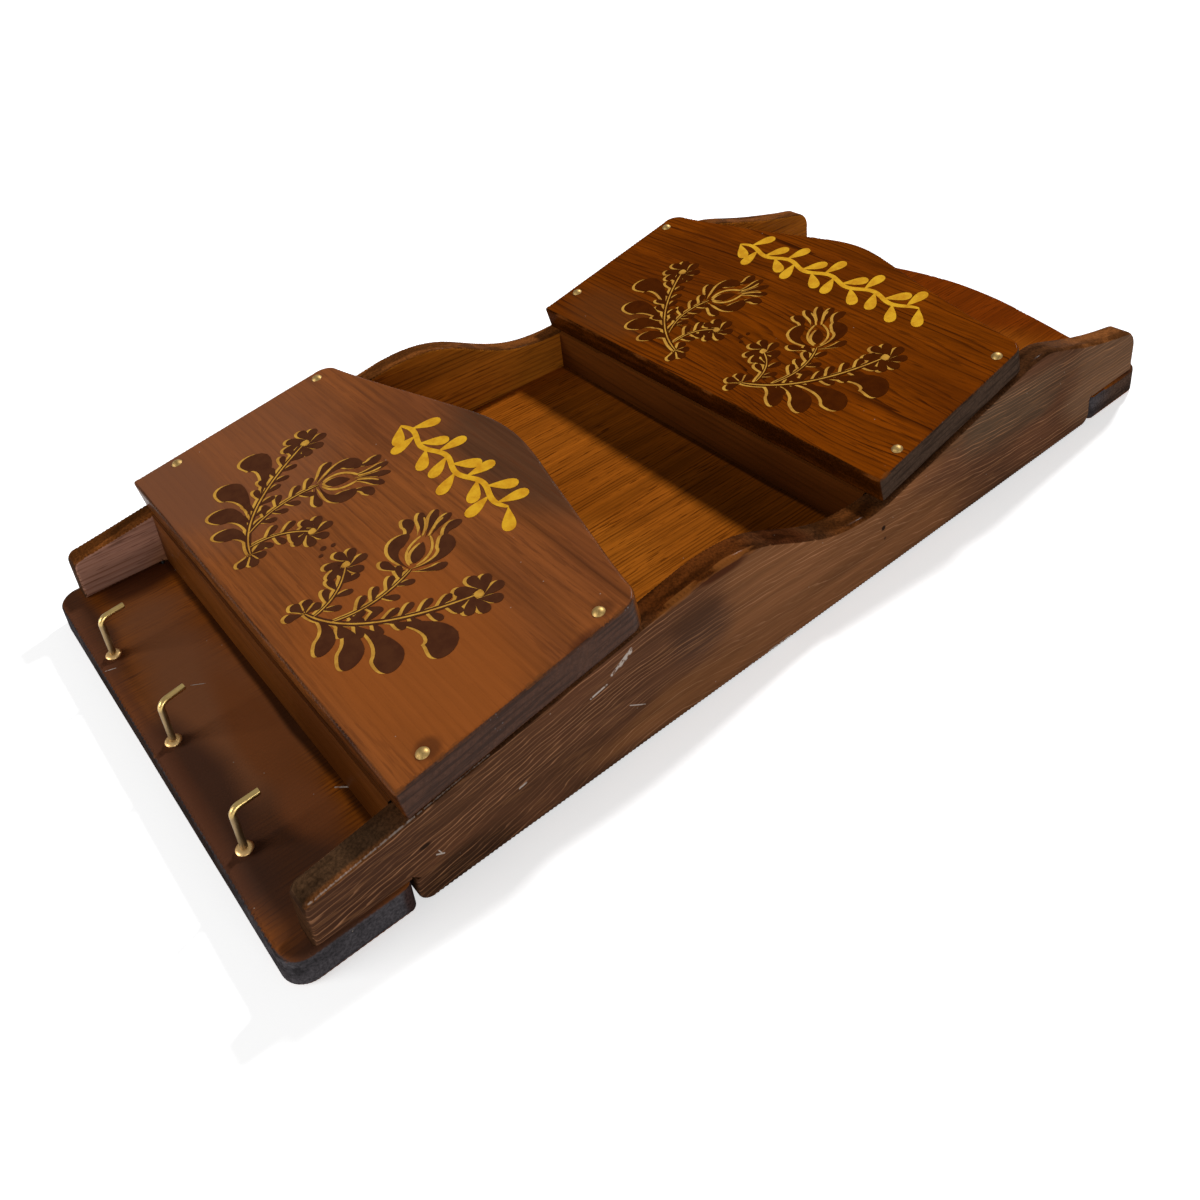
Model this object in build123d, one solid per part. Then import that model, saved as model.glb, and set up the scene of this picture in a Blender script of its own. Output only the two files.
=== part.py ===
"""Wall mail organizer: a backboard between two side boards, with an upper pocket for letters, a lower
pocket for bills and a row of three key hooks.

It is modelled lying on its back. The origin is the centre of the back face, +X points to the
organizer's right, +Y up the wall towards the crest, and +Z out of the wall. While the pieces are
drawn, Y counts from the bottom edge of the backboard; they are shifted to the origin at the end.
"""
import os
from math import cos, radians, sin, tan

from build123d import *

os.makedirs("parts", exist_ok=True)

# Overall sizes, in millimetres
body_width = 204.0            # over the outer faces of the side boards
back_length = 419.0           # bottom edge to the shoulders of the top edge
crest_rise = 14.3             # how far the crest stands above the shoulders
crest_half_width = 74.0       # from the middle to where the crest leaves the straight shoulder
crest_flank_share = 0.57      # place of the flank point along the half crest
crest_flank_rise = 8.1        # height of the crest at its flank point

# Boards
back_thickness = 11.3
side_thickness = 10.0
bills_panel_thickness = 12.1
letters_panel_thickness = 10.8
shelf_thickness = 9.5
back_corner_radius = 8.0
back_arris = 1.2              # rounding of the backboard's front arris

# The ears are the full-width ends of the backboard, which carry the ends of the side boards
bottom_ear_length = 39.5
top_ear_length = 38.7
ear_gap = 0.8                 # crack between an ear's inner end and the side board
ear_corner_radius = 2.5       # rounding of the ear's inner corner
ear_heel_radius = 5.0         # rounding of the side board's corner at the ear

# Side boards
side_bottom_margin = 8.9      # from the bottom edge of the backboard to the side board
left_top_margin = 0.8         # from the backboard's shoulders: the left board was cut longer
right_top_margin = 7.4
side_toe_radius = 4.0         # front corner at the bottom end
side_head_radius = 9.0        # front corner at the top end
side_outer_arris = 2.0
side_inner_arris = 1.0

# Seats: the sloped stretches of the side boards that the panels lie on
bills_seat_y = 42.6           # lower back arris of the bills panel
bills_seat_z = 33.5
bills_tilt = 8.8              # degrees from the wall
letters_seat_y = 244.6
letters_seat_z = 30.0
letters_tilt = 12.6

# The side board's curves above each pocket. A handle is how far a curve holds its end's direction,
# as a share of the curve's length
bills_seat_reach = 18.5       # how far the seat's slope carries on past the panel's shoulder
bills_bump_handle = 0.484
scoop_handle = 0.525
scoop_slope = 3.0             # slope of the scoop where it meets the letters seat, in degrees
neck_start_handle = 0.27
neck_end_handle = 0.776
neck_end_slope = 10.7         # fall of the neck at its top end, in degrees
neck_end_z = 31.4

# Front panels, measured up the slope of the face
bills_panel_inset = 0.6       # from the side boards' outer faces to the panel's ends
bills_shoulder = 90.0
bills_waist_share = 0.62      # place of the waist along the half width
bills_waist_height = 99.2
bills_flank_share = 0.34
bills_flank_height = 106.8
bills_crown = 113.3
letters_panel_inset = 1.8
letters_shoulder = 87.8
letters_waist_share = 0.58
letters_waist_height = 96.2
letters_flank_share = 0.30
letters_flank_height = 103.4
letters_crown = 109.8
panel_shoulder_radius = 7.0
panel_foot_radius = 1.2
panel_arris = 0.9

# Pocket shelves
bills_shelf_y = 41.6          # lower face of the shelf
letters_shelf_y = 243.4

# Round-head brass pins that hold the panels
pin_shank_radius = 0.8
pin_head_radius = 2.15
pin_head_height = 1.2
pin_length = 22.0             # under the head
pin_tip_share = 0.2           # width of a pin's tip, as a share of its shank
bills_pin_inset = 5.8         # from the side board's outer face
bills_pin_low = 14.9          # up the face from the panel's lower edge
bills_pin_high = 79.9
bills_pin_stagger = 2.2       # the left pins sit this much higher and the right pins lower
letters_pin_inset = 6.8
letters_pin_low = 16.7
letters_pin_high = 77.3
letters_pin_stagger = 0.3

# Key hooks, bent square from brass wire
hook_names = ("left", "middle", "right")
hook_places = ((-51.7, 6.3), (3.6, 7.4), (59.2, 7.7))
hook_turns = (9.0, 12.0, 4.0)  # how far each arm is turned towards the left, in degrees
hook_wire_radius = 0.85
hook_reach = 18.0             # board face to the centre of the arm
hook_arm = 8.0                # shank centre to the arm's tip
hook_bend_radius = 2.2
hook_screw_depth = 7.0
hook_point = 2.0              # length of the screw's point
hook_tip_share = 0.1
hook_fit = 0.05               # clearance of the screw in its hole
collar_radius = 2.45
collar_height = 1.4
collar_wall = 0.5             # at the rim
collar_dish = 0.8             # depth of the dished top
collar_flank_share = 0.45     # height of the collar's upright rim
collar_lip_share = 0.4        # flat part of the rim's wall

# Keyhole hanger plates, let into the back near the top
hanger_x = 60.0
hanger_drop = 67.0            # from the backboard's shoulders to the round entry hole's centre
hanger_width = 16.0
hanger_length = 42.0
hanger_thickness = 1.5
hanger_below = 12.5           # from the entry hole's centre to the plate's lower end
entry_radius = 4.5
slot_radius = 2.3
slot_rise = 12.0              # from the entry hole's centre to the slot's upper end
pocket_margin = 1.0           # how much wider than the entry hole the room behind the plate is
plate_gap = 0.15              # clearance round a plate in its recess
plate_sink = 0.1              # how far the plate lies below the back face
screw_pocket_depth = 6.0      # room behind the plate for the head of a wall screw
hanger_screw_inset = 4.5      # screw centre from the plate's end
hanger_screw_radius = 1.1
hanger_screw_head_radius = 2.1
hanger_screw_length = 7.0
screw_fit = 0.05

# Finishing nails
nail_radius = 0.7
nail_head_radius = 1.1
nail_head_height = 0.8
nail_sink = 0.6               # how far a nail's head is punched below the surface
side_nail_length = 24.0
side_nail_count = 5
side_nail_inset = 32.0        # from the ears to the first and last nail
shelf_nail_heights = (0.32, 0.76)
ear_nail_length = 20.0
ear_nail_inset = 7.2          # from the ends of the side board's rebate
nail_fit = 0.05               # clearance of a nail or pin in its hole
shank_flats = 8               # shanks hidden in the wood, and their holes, are drawn with this many sides

near = 0.01                   # how closely an edge's place is matched when edges are picked

half_width = body_width / 2
inner_half = half_width - side_thickness
side_centre = half_width - side_thickness / 2
overall_length = back_length + crest_rise
hanger_y = back_length - hanger_drop
pin_dome_radius = (pin_head_radius ** 2 + pin_head_height ** 2) / (pin_head_height * 2)
top_ear_y = back_length - top_ear_length
side_bottom_y = side_bottom_margin


def seat_height(y, seat_y, seat_z, tilt):
    """Height of a panel's back plane above the wall at a place up the wall."""
    return seat_z + (y - seat_y) * tan(radians(tilt))


def seat_plane(seat_y, seat_z, tilt):
    """Plane of a panel's back face: X across, Y up the slope, Z out of the pocket."""
    slope = radians(tilt)
    return Plane(origin=(0, seat_y, seat_z), x_dir=(1, 0, 0), z_dir=(0, -sin(slope), cos(slope)))


bills_plane = seat_plane(bills_seat_y, bills_seat_z, bills_tilt)
letters_plane = seat_plane(letters_seat_y, letters_seat_z, letters_tilt)


def mirrored_curve(points):
    """Closed-up smooth line through points of the right half, from the outside in, and their mirror."""
    left = [(-x, y) for x, y in points]
    right = [(x, y) for x, y in points[:-1]][::-1]
    return Spline(*left, *right)


def pin_spots(spread, low, high, stagger):
    """Places of a panel's four pins on its face."""
    return [
        (-spread, low + stagger), (spread, low - stagger),
        (-spread, high + stagger), (spread, high - stagger),
    ]


bills_pin_spots = pin_spots(half_width - bills_pin_inset, bills_pin_low, bills_pin_high, bills_pin_stagger)
letters_pin_spots = pin_spots(
    half_width - letters_pin_inset, letters_pin_low, letters_pin_high, letters_pin_stagger)


def shank_section(radius):
    """Section of a hidden shank: a many-sided outline round the given radius."""
    return RegularPolygon(radius, shank_flats, major_radius=False)


def shank_rod(radius, length):
    """Hidden shank along +Z from zero."""
    return extrude(shank_section(radius), amount=length)


def panel_pin(plane, spot, thickness):
    """One round-head pin, driven square to the face of its panel."""
    dome = RadiusArc((0, 0), (pin_head_radius, -pin_head_height), pin_dome_radius)
    rim = Polyline((pin_head_radius, -pin_head_height), (0, -pin_head_height), (0, 0))
    head = revolve(Plane.XZ * Pos(0, pin_head_height) * make_face([dome, rim]), axis=Axis.Z)
    shank_reach = pin_length - pin_shank_radius * 2
    shank = Pos(0, 0, -shank_reach) * shank_rod(pin_shank_radius, shank_reach)
    point = loft([
        Pos(0, 0, -pin_length) * shank_section(pin_shank_radius * pin_tip_share),
        Pos(0, 0, -shank_reach) * shank_section(pin_shank_radius)])
    return plane * Pos(spot[0], spot[1], thickness) * (head + shank + point)


def panel_pin_hole(plane, spot, thickness):
    """Hole for a pin through its panel and into the side board."""
    return plane * Pos(spot[0], spot[1], thickness - pin_length - nail_fit) * shank_rod(
        pin_shank_radius + nail_fit, pin_length + nail_fit * 2)


def wire_hook(place, turn):
    """Square-bent hook: a screw shank out of the board and an arm up the wall."""
    top = back_thickness + hook_reach
    foot = back_thickness - hook_screw_depth
    lean = radians(turn)
    tip = (-hook_arm * sin(lean), hook_arm * cos(lean), top)
    path = FilletPolyline((0, 0, foot), (0, 0, top), tip, radius=hook_bend_radius)
    wire = sweep(Pos(0, 0, foot) * Circle(hook_wire_radius), path=path)
    point = Pos(0, 0, foot - hook_point / 2) * Cone(
        hook_wire_radius * hook_tip_share, hook_wire_radius, hook_point)
    return Pos(place[0], place[1], 0) * (wire + point)


def hook_hole(place):
    """Pilot hole of a hook's screw in the backboard."""
    depth = hook_screw_depth + hook_point
    return Pos(place[0], place[1], back_thickness - depth - hook_fit) * shank_rod(
        hook_wire_radius + hook_fit, depth + hook_fit * 2)


def hook_collar(place):
    """Dished brass collar that seats on the board round a hook's shank."""
    bore = hook_wire_radius + hook_fit
    rim = collar_radius - collar_wall
    profile = Polyline(
        (bore, 0, 0), (collar_radius, 0, 0), (collar_radius, 0, collar_height * collar_flank_share),
        (rim + collar_wall * collar_lip_share, 0, collar_height), (rim, 0, collar_height),
        (bore, 0, collar_height - collar_dish), close=True)
    ring = revolve(make_face(profile), axis=Axis.Z)
    return Pos(place[0], place[1], back_thickness) * ring


def keyhole(depth, widen=0.0):
    """Keyhole of the hanger: a round entry with a narrower slot above it."""
    entry = Circle(entry_radius + widen)
    slot = Pos(0, slot_rise / 2) * Rectangle((slot_radius + widen) * 2, slot_rise)
    slot_end = Pos(0, slot_rise) * Circle(slot_radius + widen)
    return extrude(entry + slot + slot_end, amount=depth)


def hanger_blank(depth, widen=0.0):
    """Round-ended blank of a hanger plate, from its back face inwards."""
    middle = hanger_length / 2 - hanger_below
    return extrude(Pos(0, middle) * SlotOverall(
        hanger_length + widen * 2, hanger_width + widen * 2, rotation=90), amount=depth)


def hanger_screw_spots():
    """Centres of a plate's two screws, from the entry hole's centre."""
    low = hanger_screw_inset - hanger_below
    high = hanger_length - hanger_below - hanger_screw_inset
    return [(0, low), (0, high)]


def countersunk_screw(grow=0.0):
    """Small countersunk screw, head at the plate's back face, running into the board."""
    head_height = hanger_screw_head_radius - hanger_screw_radius
    head = Pos(0, 0, head_height / 2) * Cone(
        hanger_screw_head_radius + grow, hanger_screw_radius + grow, head_height)
    return head + shank_rod(hanger_screw_radius + grow, hanger_screw_length)


def hanger_sites():
    """Places of the two plates' entry holes, at the depth of the plates' back faces."""
    return [Pos(side * hanger_x, hanger_y, plate_sink) for side in (-1, 1)]


def finishing_nail(length, grow=0.0):
    """Finishing nail along +Z with its head at zero."""
    return shank_rod(nail_head_radius + grow, nail_head_height) + shank_rod(nail_radius + grow, length)


def nail_hole(length):
    """Hole that a punched-in finishing nail leaves, open at the surface."""
    mouth = Pos(0, 0, -nail_sink) * shank_rod(nail_head_radius + nail_fit, nail_sink)
    return finishing_nail(length, nail_fit) + mouth


def side_nail_sites(side):
    """Nails through a side board into the edge of the backboard, heads outwards."""
    inwards = Rot(0, -90 * side, 0)
    x = side * (half_width - nail_sink)
    low, high = bottom_ear_length + side_nail_inset, top_ear_y - side_nail_inset
    step = (high - low) / (side_nail_count - 1)
    return [Pos(x, low + step * i, back_thickness / 2) * inwards for i in range(side_nail_count)]


def shelf_nail_sites(side):
    """Nails through a side board into the shelves' ends, heads outwards."""
    inwards = Rot(0, -90 * side, 0)
    x = side * (half_width - nail_sink)
    shelves = (
        (bills_shelf_y, bills_seat_y, bills_seat_z, bills_tilt),
        (letters_shelf_y, letters_seat_y, letters_seat_z, letters_tilt),
    )
    sites = []
    for shelf_y, seat_y, seat_z, tilt in shelves:
        front = seat_height(shelf_y, seat_y, seat_z, tilt)
        for share in shelf_nail_heights:
            z = back_thickness + (front - back_thickness) * share
            sites.append(Pos(x, shelf_y + shelf_thickness / 2, z) * inwards)
    return sites


def ear_nail_sites():
    """Nails from the back through the ears into the side boards."""
    board_end = back_length - max(left_top_margin, right_top_margin)
    ys = (side_bottom_y + ear_nail_inset, bottom_ear_length - ear_nail_inset,
          top_ear_y + ear_nail_inset, board_end - ear_nail_inset)
    return [Pos(side * side_centre, y, nail_sink) for side in (-1, 1) for y in ys]


def make_backboard():
    """Backboard with full-width ears, a camel-back crest and the hangers' recesses."""
    w, i = half_width, inner_half
    crest = mirrored_curve([
        (crest_half_width, back_length),
        (crest_half_width * crest_flank_share, back_length + crest_flank_rise),
        (0, back_length + crest_rise),
    ])
    right = Polyline(
        (crest_half_width, back_length), (w, back_length), (w, top_ear_y), (i, top_ear_y),
        (i, bottom_ear_length), (w, bottom_ear_length), (w, 0), (-w, 0), (-w, bottom_ear_length),
        (-i, bottom_ear_length), (-i, top_ear_y), (-w, top_ear_y), (-w, back_length),
        (-crest_half_width, back_length))
    outline = make_face([crest, right])
    board = extrude(outline, amount=back_thickness)

    def ear_corners(*ys):
        """Upright edges of the ears at the given places up the board."""
        return [e for e in board.edges().filter_by(Axis.Z) if abs(abs(e.center().X) - w) < near
                and min(abs(e.center().Y - y) for y in ys) < near]

    board = fillet(ear_corners(0, back_length), back_corner_radius)
    board = fillet(ear_corners(bottom_ear_length, top_ear_y), ear_corner_radius)
    end_edges = [e for e in board.edges() if e.center().Z > back_thickness - near
                 and (e.center().Y < back_corner_radius or e.center().Y > back_length - back_corner_radius)]
    board = fillet(end_edges, back_arris)

    for place in hook_places:
        board -= hook_hole(place)
    for site in hanger_sites():
        board -= site * Pos(0, 0, -plate_sink * 2) * hanger_blank(
            hanger_thickness + plate_sink * 2 + plate_gap, plate_gap)
        pocket_radius = entry_radius + pocket_margin
        pocket = extrude(
            Pos(0, slot_rise / 2) * SlotCenterToCenter(slot_rise, pocket_radius * 2, rotation=90),
            amount=screw_pocket_depth)
        board -= site * Pos(0, 0, hanger_thickness) * pocket
        for spot in hanger_screw_spots():
            board -= site * Pos(*spot, 0) * countersunk_screw(screw_fit)
    for side in (-1, 1):
        for site in side_nail_sites(side):
            board -= site * nail_hole(side_nail_length)
    for site in ear_nail_sites():
        board -= site * nail_hole(ear_nail_length)
    return board


def handle_curve(start, start_slope, start_handle, end, end_slope, end_handle):
    """Smooth curve in Y and Z between two points, with its slope in degrees and handle at each end."""
    span = end[0] - start[0]
    out, back = start_handle * span, end_handle * span
    a, b = radians(start_slope), radians(end_slope)
    return Bezier(
        (0, *start), (0, start[0] + out * cos(a), start[1] + out * sin(a)),
        (0, end[0] - back * cos(b), end[1] - back * sin(b)), (0, *end))


def side_profile(side_top_y):
    """Outline of a side board in Y and Z: ears' rebates behind, seats and curves in front."""
    toe = (side_bottom_y, seat_height(side_bottom_y, bills_seat_y, bills_seat_z, bills_tilt))
    bump_y = bills_seat_y + (bills_shoulder + bills_seat_reach) * cos(radians(bills_tilt))
    bills_bump = (bump_y, seat_height(bump_y, bills_seat_y, bills_seat_z, bills_tilt))
    letters_seat = (letters_seat_y, letters_seat_z)
    bump_y = letters_seat_y + letters_shoulder * cos(radians(letters_tilt))
    letters_bump = (bump_y, seat_height(bump_y, letters_seat_y, letters_seat_z, letters_tilt))
    head = (side_top_y, neck_end_z)
    heel = bottom_ear_length + ear_gap
    neck_heel = top_ear_y - ear_gap

    back = Polyline(
        (0, *head), (0, side_top_y, back_thickness), (0, neck_heel, back_thickness),
        (0, neck_heel, 0), (0, heel, 0), (0, heel, back_thickness), (0, side_bottom_y, back_thickness),
        (0, *toe), (0, *bills_bump))
    scoop = handle_curve(
        bills_bump, bills_tilt, bills_bump_handle, letters_seat, scoop_slope, scoop_handle)
    letters_slope = Line((0, *letters_seat), (0, *letters_bump))
    neck = handle_curve(
        letters_bump, letters_tilt, neck_start_handle, head, -neck_end_slope, neck_end_handle)
    return make_face([back, scoop, letters_slope, neck])


def make_side(side):
    """Side board: side is -1 for the left one and 1 for the right one."""
    side_top_y = back_length - (left_top_margin if side < 0 else right_top_margin)
    board = Pos(inner_half, 0, 0) * extrude(side_profile(side_top_y), amount=side_thickness, dir=(1, 0, 0))

    def front_corner(y):
        """Edge across the board where its end at y meets the front outline."""
        return [e for e in board.edges().filter_by(Axis.X)
                if abs(e.center().Y - y) < near and e.center().Z > back_thickness + near]

    board = fillet(front_corner(side_bottom_y), side_toe_radius)
    board = fillet(front_corner(side_top_y), side_head_radius)
    board = fillet([e for e in board.edges().filter_by(Axis.X) if e.center().Z < near], ear_heel_radius)

    front_level = (back_thickness + neck_end_z) / 2

    def front_arris(x):
        """Edges of the front outline on the face at x."""
        return [e for e in board.edges() if abs(e.center().X - x) < near and e.center().Z > front_level]

    board = fillet(front_arris(half_width), side_outer_arris)
    board = fillet(front_arris(inner_half), side_inner_arris)
    if side < 0:
        board = mirror(board, about=Plane.YZ)

    for site in side_nail_sites(side):
        board -= site * nail_hole(side_nail_length)
    for site in shelf_nail_sites(side):
        board -= site * nail_hole(side_nail_length)
    for site in ear_nail_sites():
        board -= site * nail_hole(ear_nail_length)
    for spot in bills_pin_spots:
        board -= panel_pin_hole(bills_plane, spot, bills_panel_thickness)
    for spot in letters_pin_spots:
        board -= panel_pin_hole(letters_plane, spot, letters_panel_thickness)
    return board


def make_panel(plane, spots, inset, thickness, shoulder, waist, flank, crown):
    """Front panel with a camel-back top edge, drawn flat and laid on its seat."""
    half = half_width - inset
    arch = mirrored_curve([
        (half, shoulder), (half * waist[0], waist[1]), (half * flank[0], flank[1]), (0, crown)])
    sides = Polyline((half, shoulder), (half, 0), (-half, 0), (-half, shoulder))
    board = extrude(make_face([arch, sides]), amount=thickness)

    def corner_edges(y):
        """Upright edges of the board's two corners at the given height up the slope."""
        return [e for e in board.edges().filter_by(Axis.Z) if abs(e.center().Y - y) < near]

    board = fillet(corner_edges(shoulder), panel_shoulder_radius)
    board = fillet(corner_edges(0), panel_foot_radius)
    board = fillet([e for e in board.edges() if e.center().Z > thickness - near], panel_arris)
    board = plane * board
    for spot in spots:
        board -= panel_pin_hole(plane, spot, thickness)
    return board


def make_shelf(shelf_y, seat_y, seat_z, tilt):
    """Pocket floor between the side boards, its front edge bevelled to the panel's back."""
    low, high = shelf_y, shelf_y + shelf_thickness
    section = make_face(Polyline(
        (0, low, back_thickness), (0, high, back_thickness),
        (0, high, seat_height(high, seat_y, seat_z, tilt)),
        (0, low, seat_height(low, seat_y, seat_z, tilt)), close=True))
    board = Pos(-inner_half, 0, 0) * extrude(section, amount=inner_half * 2, dir=(1, 0, 0))
    for side in (-1, 1):
        for site in shelf_nail_sites(side):
            board -= site * nail_hole(side_nail_length)
    return board


def make_hanger_plate(site):
    """Keyhole hanger plate with two countersunk screw holes."""
    plate = hanger_blank(hanger_thickness) - keyhole(hanger_thickness)
    for spot in hanger_screw_spots():
        plate -= Pos(*spot, 0) * countersunk_screw(screw_fit)
    return site * plate


def group(shapes):
    """Separate identical pieces that share one file."""
    return Compound(children=list(shapes))


pieces = {
    "backboard": make_backboard(),
    "side_left": make_side(-1),
    "side_right": make_side(1),
    "bills_panel": make_panel(
        bills_plane, bills_pin_spots, bills_panel_inset, bills_panel_thickness, bills_shoulder,
        (bills_waist_share, bills_waist_height), (bills_flank_share, bills_flank_height), bills_crown),
    "letters_panel": make_panel(
        letters_plane, letters_pin_spots, letters_panel_inset, letters_panel_thickness, letters_shoulder,
        (letters_waist_share, letters_waist_height), (letters_flank_share, letters_flank_height),
        letters_crown),
    "bills_shelf": make_shelf(bills_shelf_y, bills_seat_y, bills_seat_z, bills_tilt),
    "letters_shelf": make_shelf(letters_shelf_y, letters_seat_y, letters_seat_z, letters_tilt),
    "bills_panel_pins": group(
        panel_pin(bills_plane, spot, bills_panel_thickness) for spot in bills_pin_spots),
    "letters_panel_pins": group(
        panel_pin(letters_plane, spot, letters_panel_thickness) for spot in letters_pin_spots),
    "hanger_plate_left": make_hanger_plate(hanger_sites()[0]),
    "hanger_plate_right": make_hanger_plate(hanger_sites()[1]),
    "hanger_screws": group(
        site * Pos(*spot, 0) * countersunk_screw() for site in hanger_sites() for spot in hanger_screw_spots()),
    "side_nails": group(
        site * finishing_nail(side_nail_length) for side in (-1, 1) for site in side_nail_sites(side)),
    "shelf_nails": group(
        site * finishing_nail(side_nail_length) for side in (-1, 1) for site in shelf_nail_sites(side)),
    "ear_nails": group(site * finishing_nail(ear_nail_length) for site in ear_nail_sites()),
}
for hook_name, hook_place, hook_turn in zip(hook_names, hook_places, hook_turns):
    pieces[f"key_hook_{hook_name}"] = wire_hook(hook_place, hook_turn)
    pieces[f"hook_collar_{hook_name}"] = hook_collar(hook_place)

to_origin = Pos(0, -overall_length / 2, 0)
for piece_name, piece in pieces.items():
    export_step(to_origin * piece, f"parts/{piece_name}.step")
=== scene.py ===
"""Looks of the wall mail organizer: stained boards, painted sprays, brass hooks and pins.

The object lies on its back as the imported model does: +X to its right, +Y up the wall, +Z out of the
wall. Boards are drawn in millimetres in their own plane and laid in place in metres.
"""

import logging
import math
from dataclasses import dataclass, field, replace
from enum import Enum
from functools import reduce
from typing import Callable, Optional, Sequence, Union

import bmesh
import bpy
import numpy as np
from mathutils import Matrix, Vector, noise
from mathutils.geometry import delaunay_2d_cdt

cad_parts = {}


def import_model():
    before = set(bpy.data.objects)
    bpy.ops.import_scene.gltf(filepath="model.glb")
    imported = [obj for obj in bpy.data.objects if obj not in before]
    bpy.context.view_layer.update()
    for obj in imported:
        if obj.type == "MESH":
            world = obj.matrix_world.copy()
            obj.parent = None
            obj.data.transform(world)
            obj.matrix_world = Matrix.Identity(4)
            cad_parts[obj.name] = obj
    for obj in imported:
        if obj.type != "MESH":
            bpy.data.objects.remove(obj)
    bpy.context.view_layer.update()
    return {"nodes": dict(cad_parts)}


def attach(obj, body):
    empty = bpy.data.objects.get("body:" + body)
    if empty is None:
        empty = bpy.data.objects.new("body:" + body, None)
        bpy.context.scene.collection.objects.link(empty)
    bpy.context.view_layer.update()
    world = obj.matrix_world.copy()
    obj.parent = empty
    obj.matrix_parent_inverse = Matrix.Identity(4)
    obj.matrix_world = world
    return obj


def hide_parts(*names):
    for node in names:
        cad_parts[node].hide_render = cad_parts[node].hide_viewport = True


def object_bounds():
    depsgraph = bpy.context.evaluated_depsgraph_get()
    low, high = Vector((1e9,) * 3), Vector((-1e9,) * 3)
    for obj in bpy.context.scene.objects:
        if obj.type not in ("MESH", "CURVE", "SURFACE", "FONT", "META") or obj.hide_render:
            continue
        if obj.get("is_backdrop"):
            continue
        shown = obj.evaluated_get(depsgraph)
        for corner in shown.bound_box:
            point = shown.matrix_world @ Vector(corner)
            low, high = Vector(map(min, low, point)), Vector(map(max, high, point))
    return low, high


MM = 0.001
ROOT = "root"
MOST = (0.3, 0.7)  # range that holds nearly all values of a smooth noise
NOISE_SEED = 7  # any whole number but 0, which stands for the clock
SPECK_COLOUR = (0.24, 0.22, 0.22)
DUST_COLOUR = (0.42, 0.34, 0.27)
# Pale colour of the scratches, and of the painted highlights along arrises.
SCRATCH_AND_HIGHLIGHT_COLOUR = (0.48, 0.40, 0.34)
Pair = tuple[float, float]
Point = tuple[float, float, float]
Colour = tuple[float, float, float]
Material = bpy.types.Material
Socket = bpy.types.NodeSocket
Value = Union[float, Socket]
AlongOutline = Callable[[np.ndarray], np.ndarray]
log = logging.getLogger("organizer")


class Axis(Enum):
    """Direction in the organizer's frame."""

    X = (1.0, 0.0, 0.0)
    Y = (0.0, 1.0, 0.0)
    Z = (0.0, 0.0, 1.0)


class Slot(Enum):
    """Finish slots."""

    BACKBOARD = "varnished_backboard"
    SIDE = "varnished_side"
    PANEL = "stained_panel"
    SHELF = "varnished_shelf"
    PIN = "brass_pin"
    HOOK = "brass_hook"
    COLLAR = "brass_collar"
    PLATE = "zinc_plate"
    SCREW = "steel_screw"
    NAIL = "steel_nail"


class Nodes:
    """Adds and links the nodes of one tree."""

    def __init__(self, tree: bpy.types.NodeTree) -> None:
        """Start on an emptied tree."""
        self.tree = tree
        tree.nodes.clear()

    def add(self, kind: str, fill: Optional[dict] = None, **settings: object) -> bpy.types.Node:
        """Add a node.

        Args:
            kind: the node's type name.
            fill: for each input's name or number, an output to link or a constant.
            settings: attributes to set on it.

        Returns:
            The new node.
        """
        made = self.tree.nodes.new(kind)
        for key, value in settings.items():
            setattr(made, key, value)
        for key, value in (fill or {}).items():
            socket = made.inputs[key]
            if isinstance(value, Socket):
                self.tree.links.new(value, socket)
            elif socket.type == "RGBA" and len(value) == 3:
                socket.default_value = (*value, 1.0)
            else:
                socket.default_value = value
        return made

    def math(self, operation: str, a: Value, b: Value = 0.0, clamp: bool = False) -> Socket:
        """Result of an operation on one or two values, held between 0 and 1 where it is clamped."""
        return self.add("ShaderNodeMath", {0: a, 1: b}, operation=operation,
                        use_clamp=clamp).outputs[0]

    def times(self, *values: Value) -> Socket:
        """Product of the values."""
        return reduce(lambda a, b: self.math("MULTIPLY", a, b), values)

    def plus(self, *values: Value) -> Socket:
        """Sum of the values."""
        return reduce(lambda a, b: self.math("ADD", a, b), values)

    def minus(self, a: Value, b: Value) -> Socket:
        """First value less the second."""
        return self.math("SUBTRACT", a, b)

    def split(self, value: Socket) -> bpy.types.NodeOutputs:
        """The three parts of a vector."""
        return self.add("ShaderNodeSeparateXYZ", {0: value}).outputs


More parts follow.
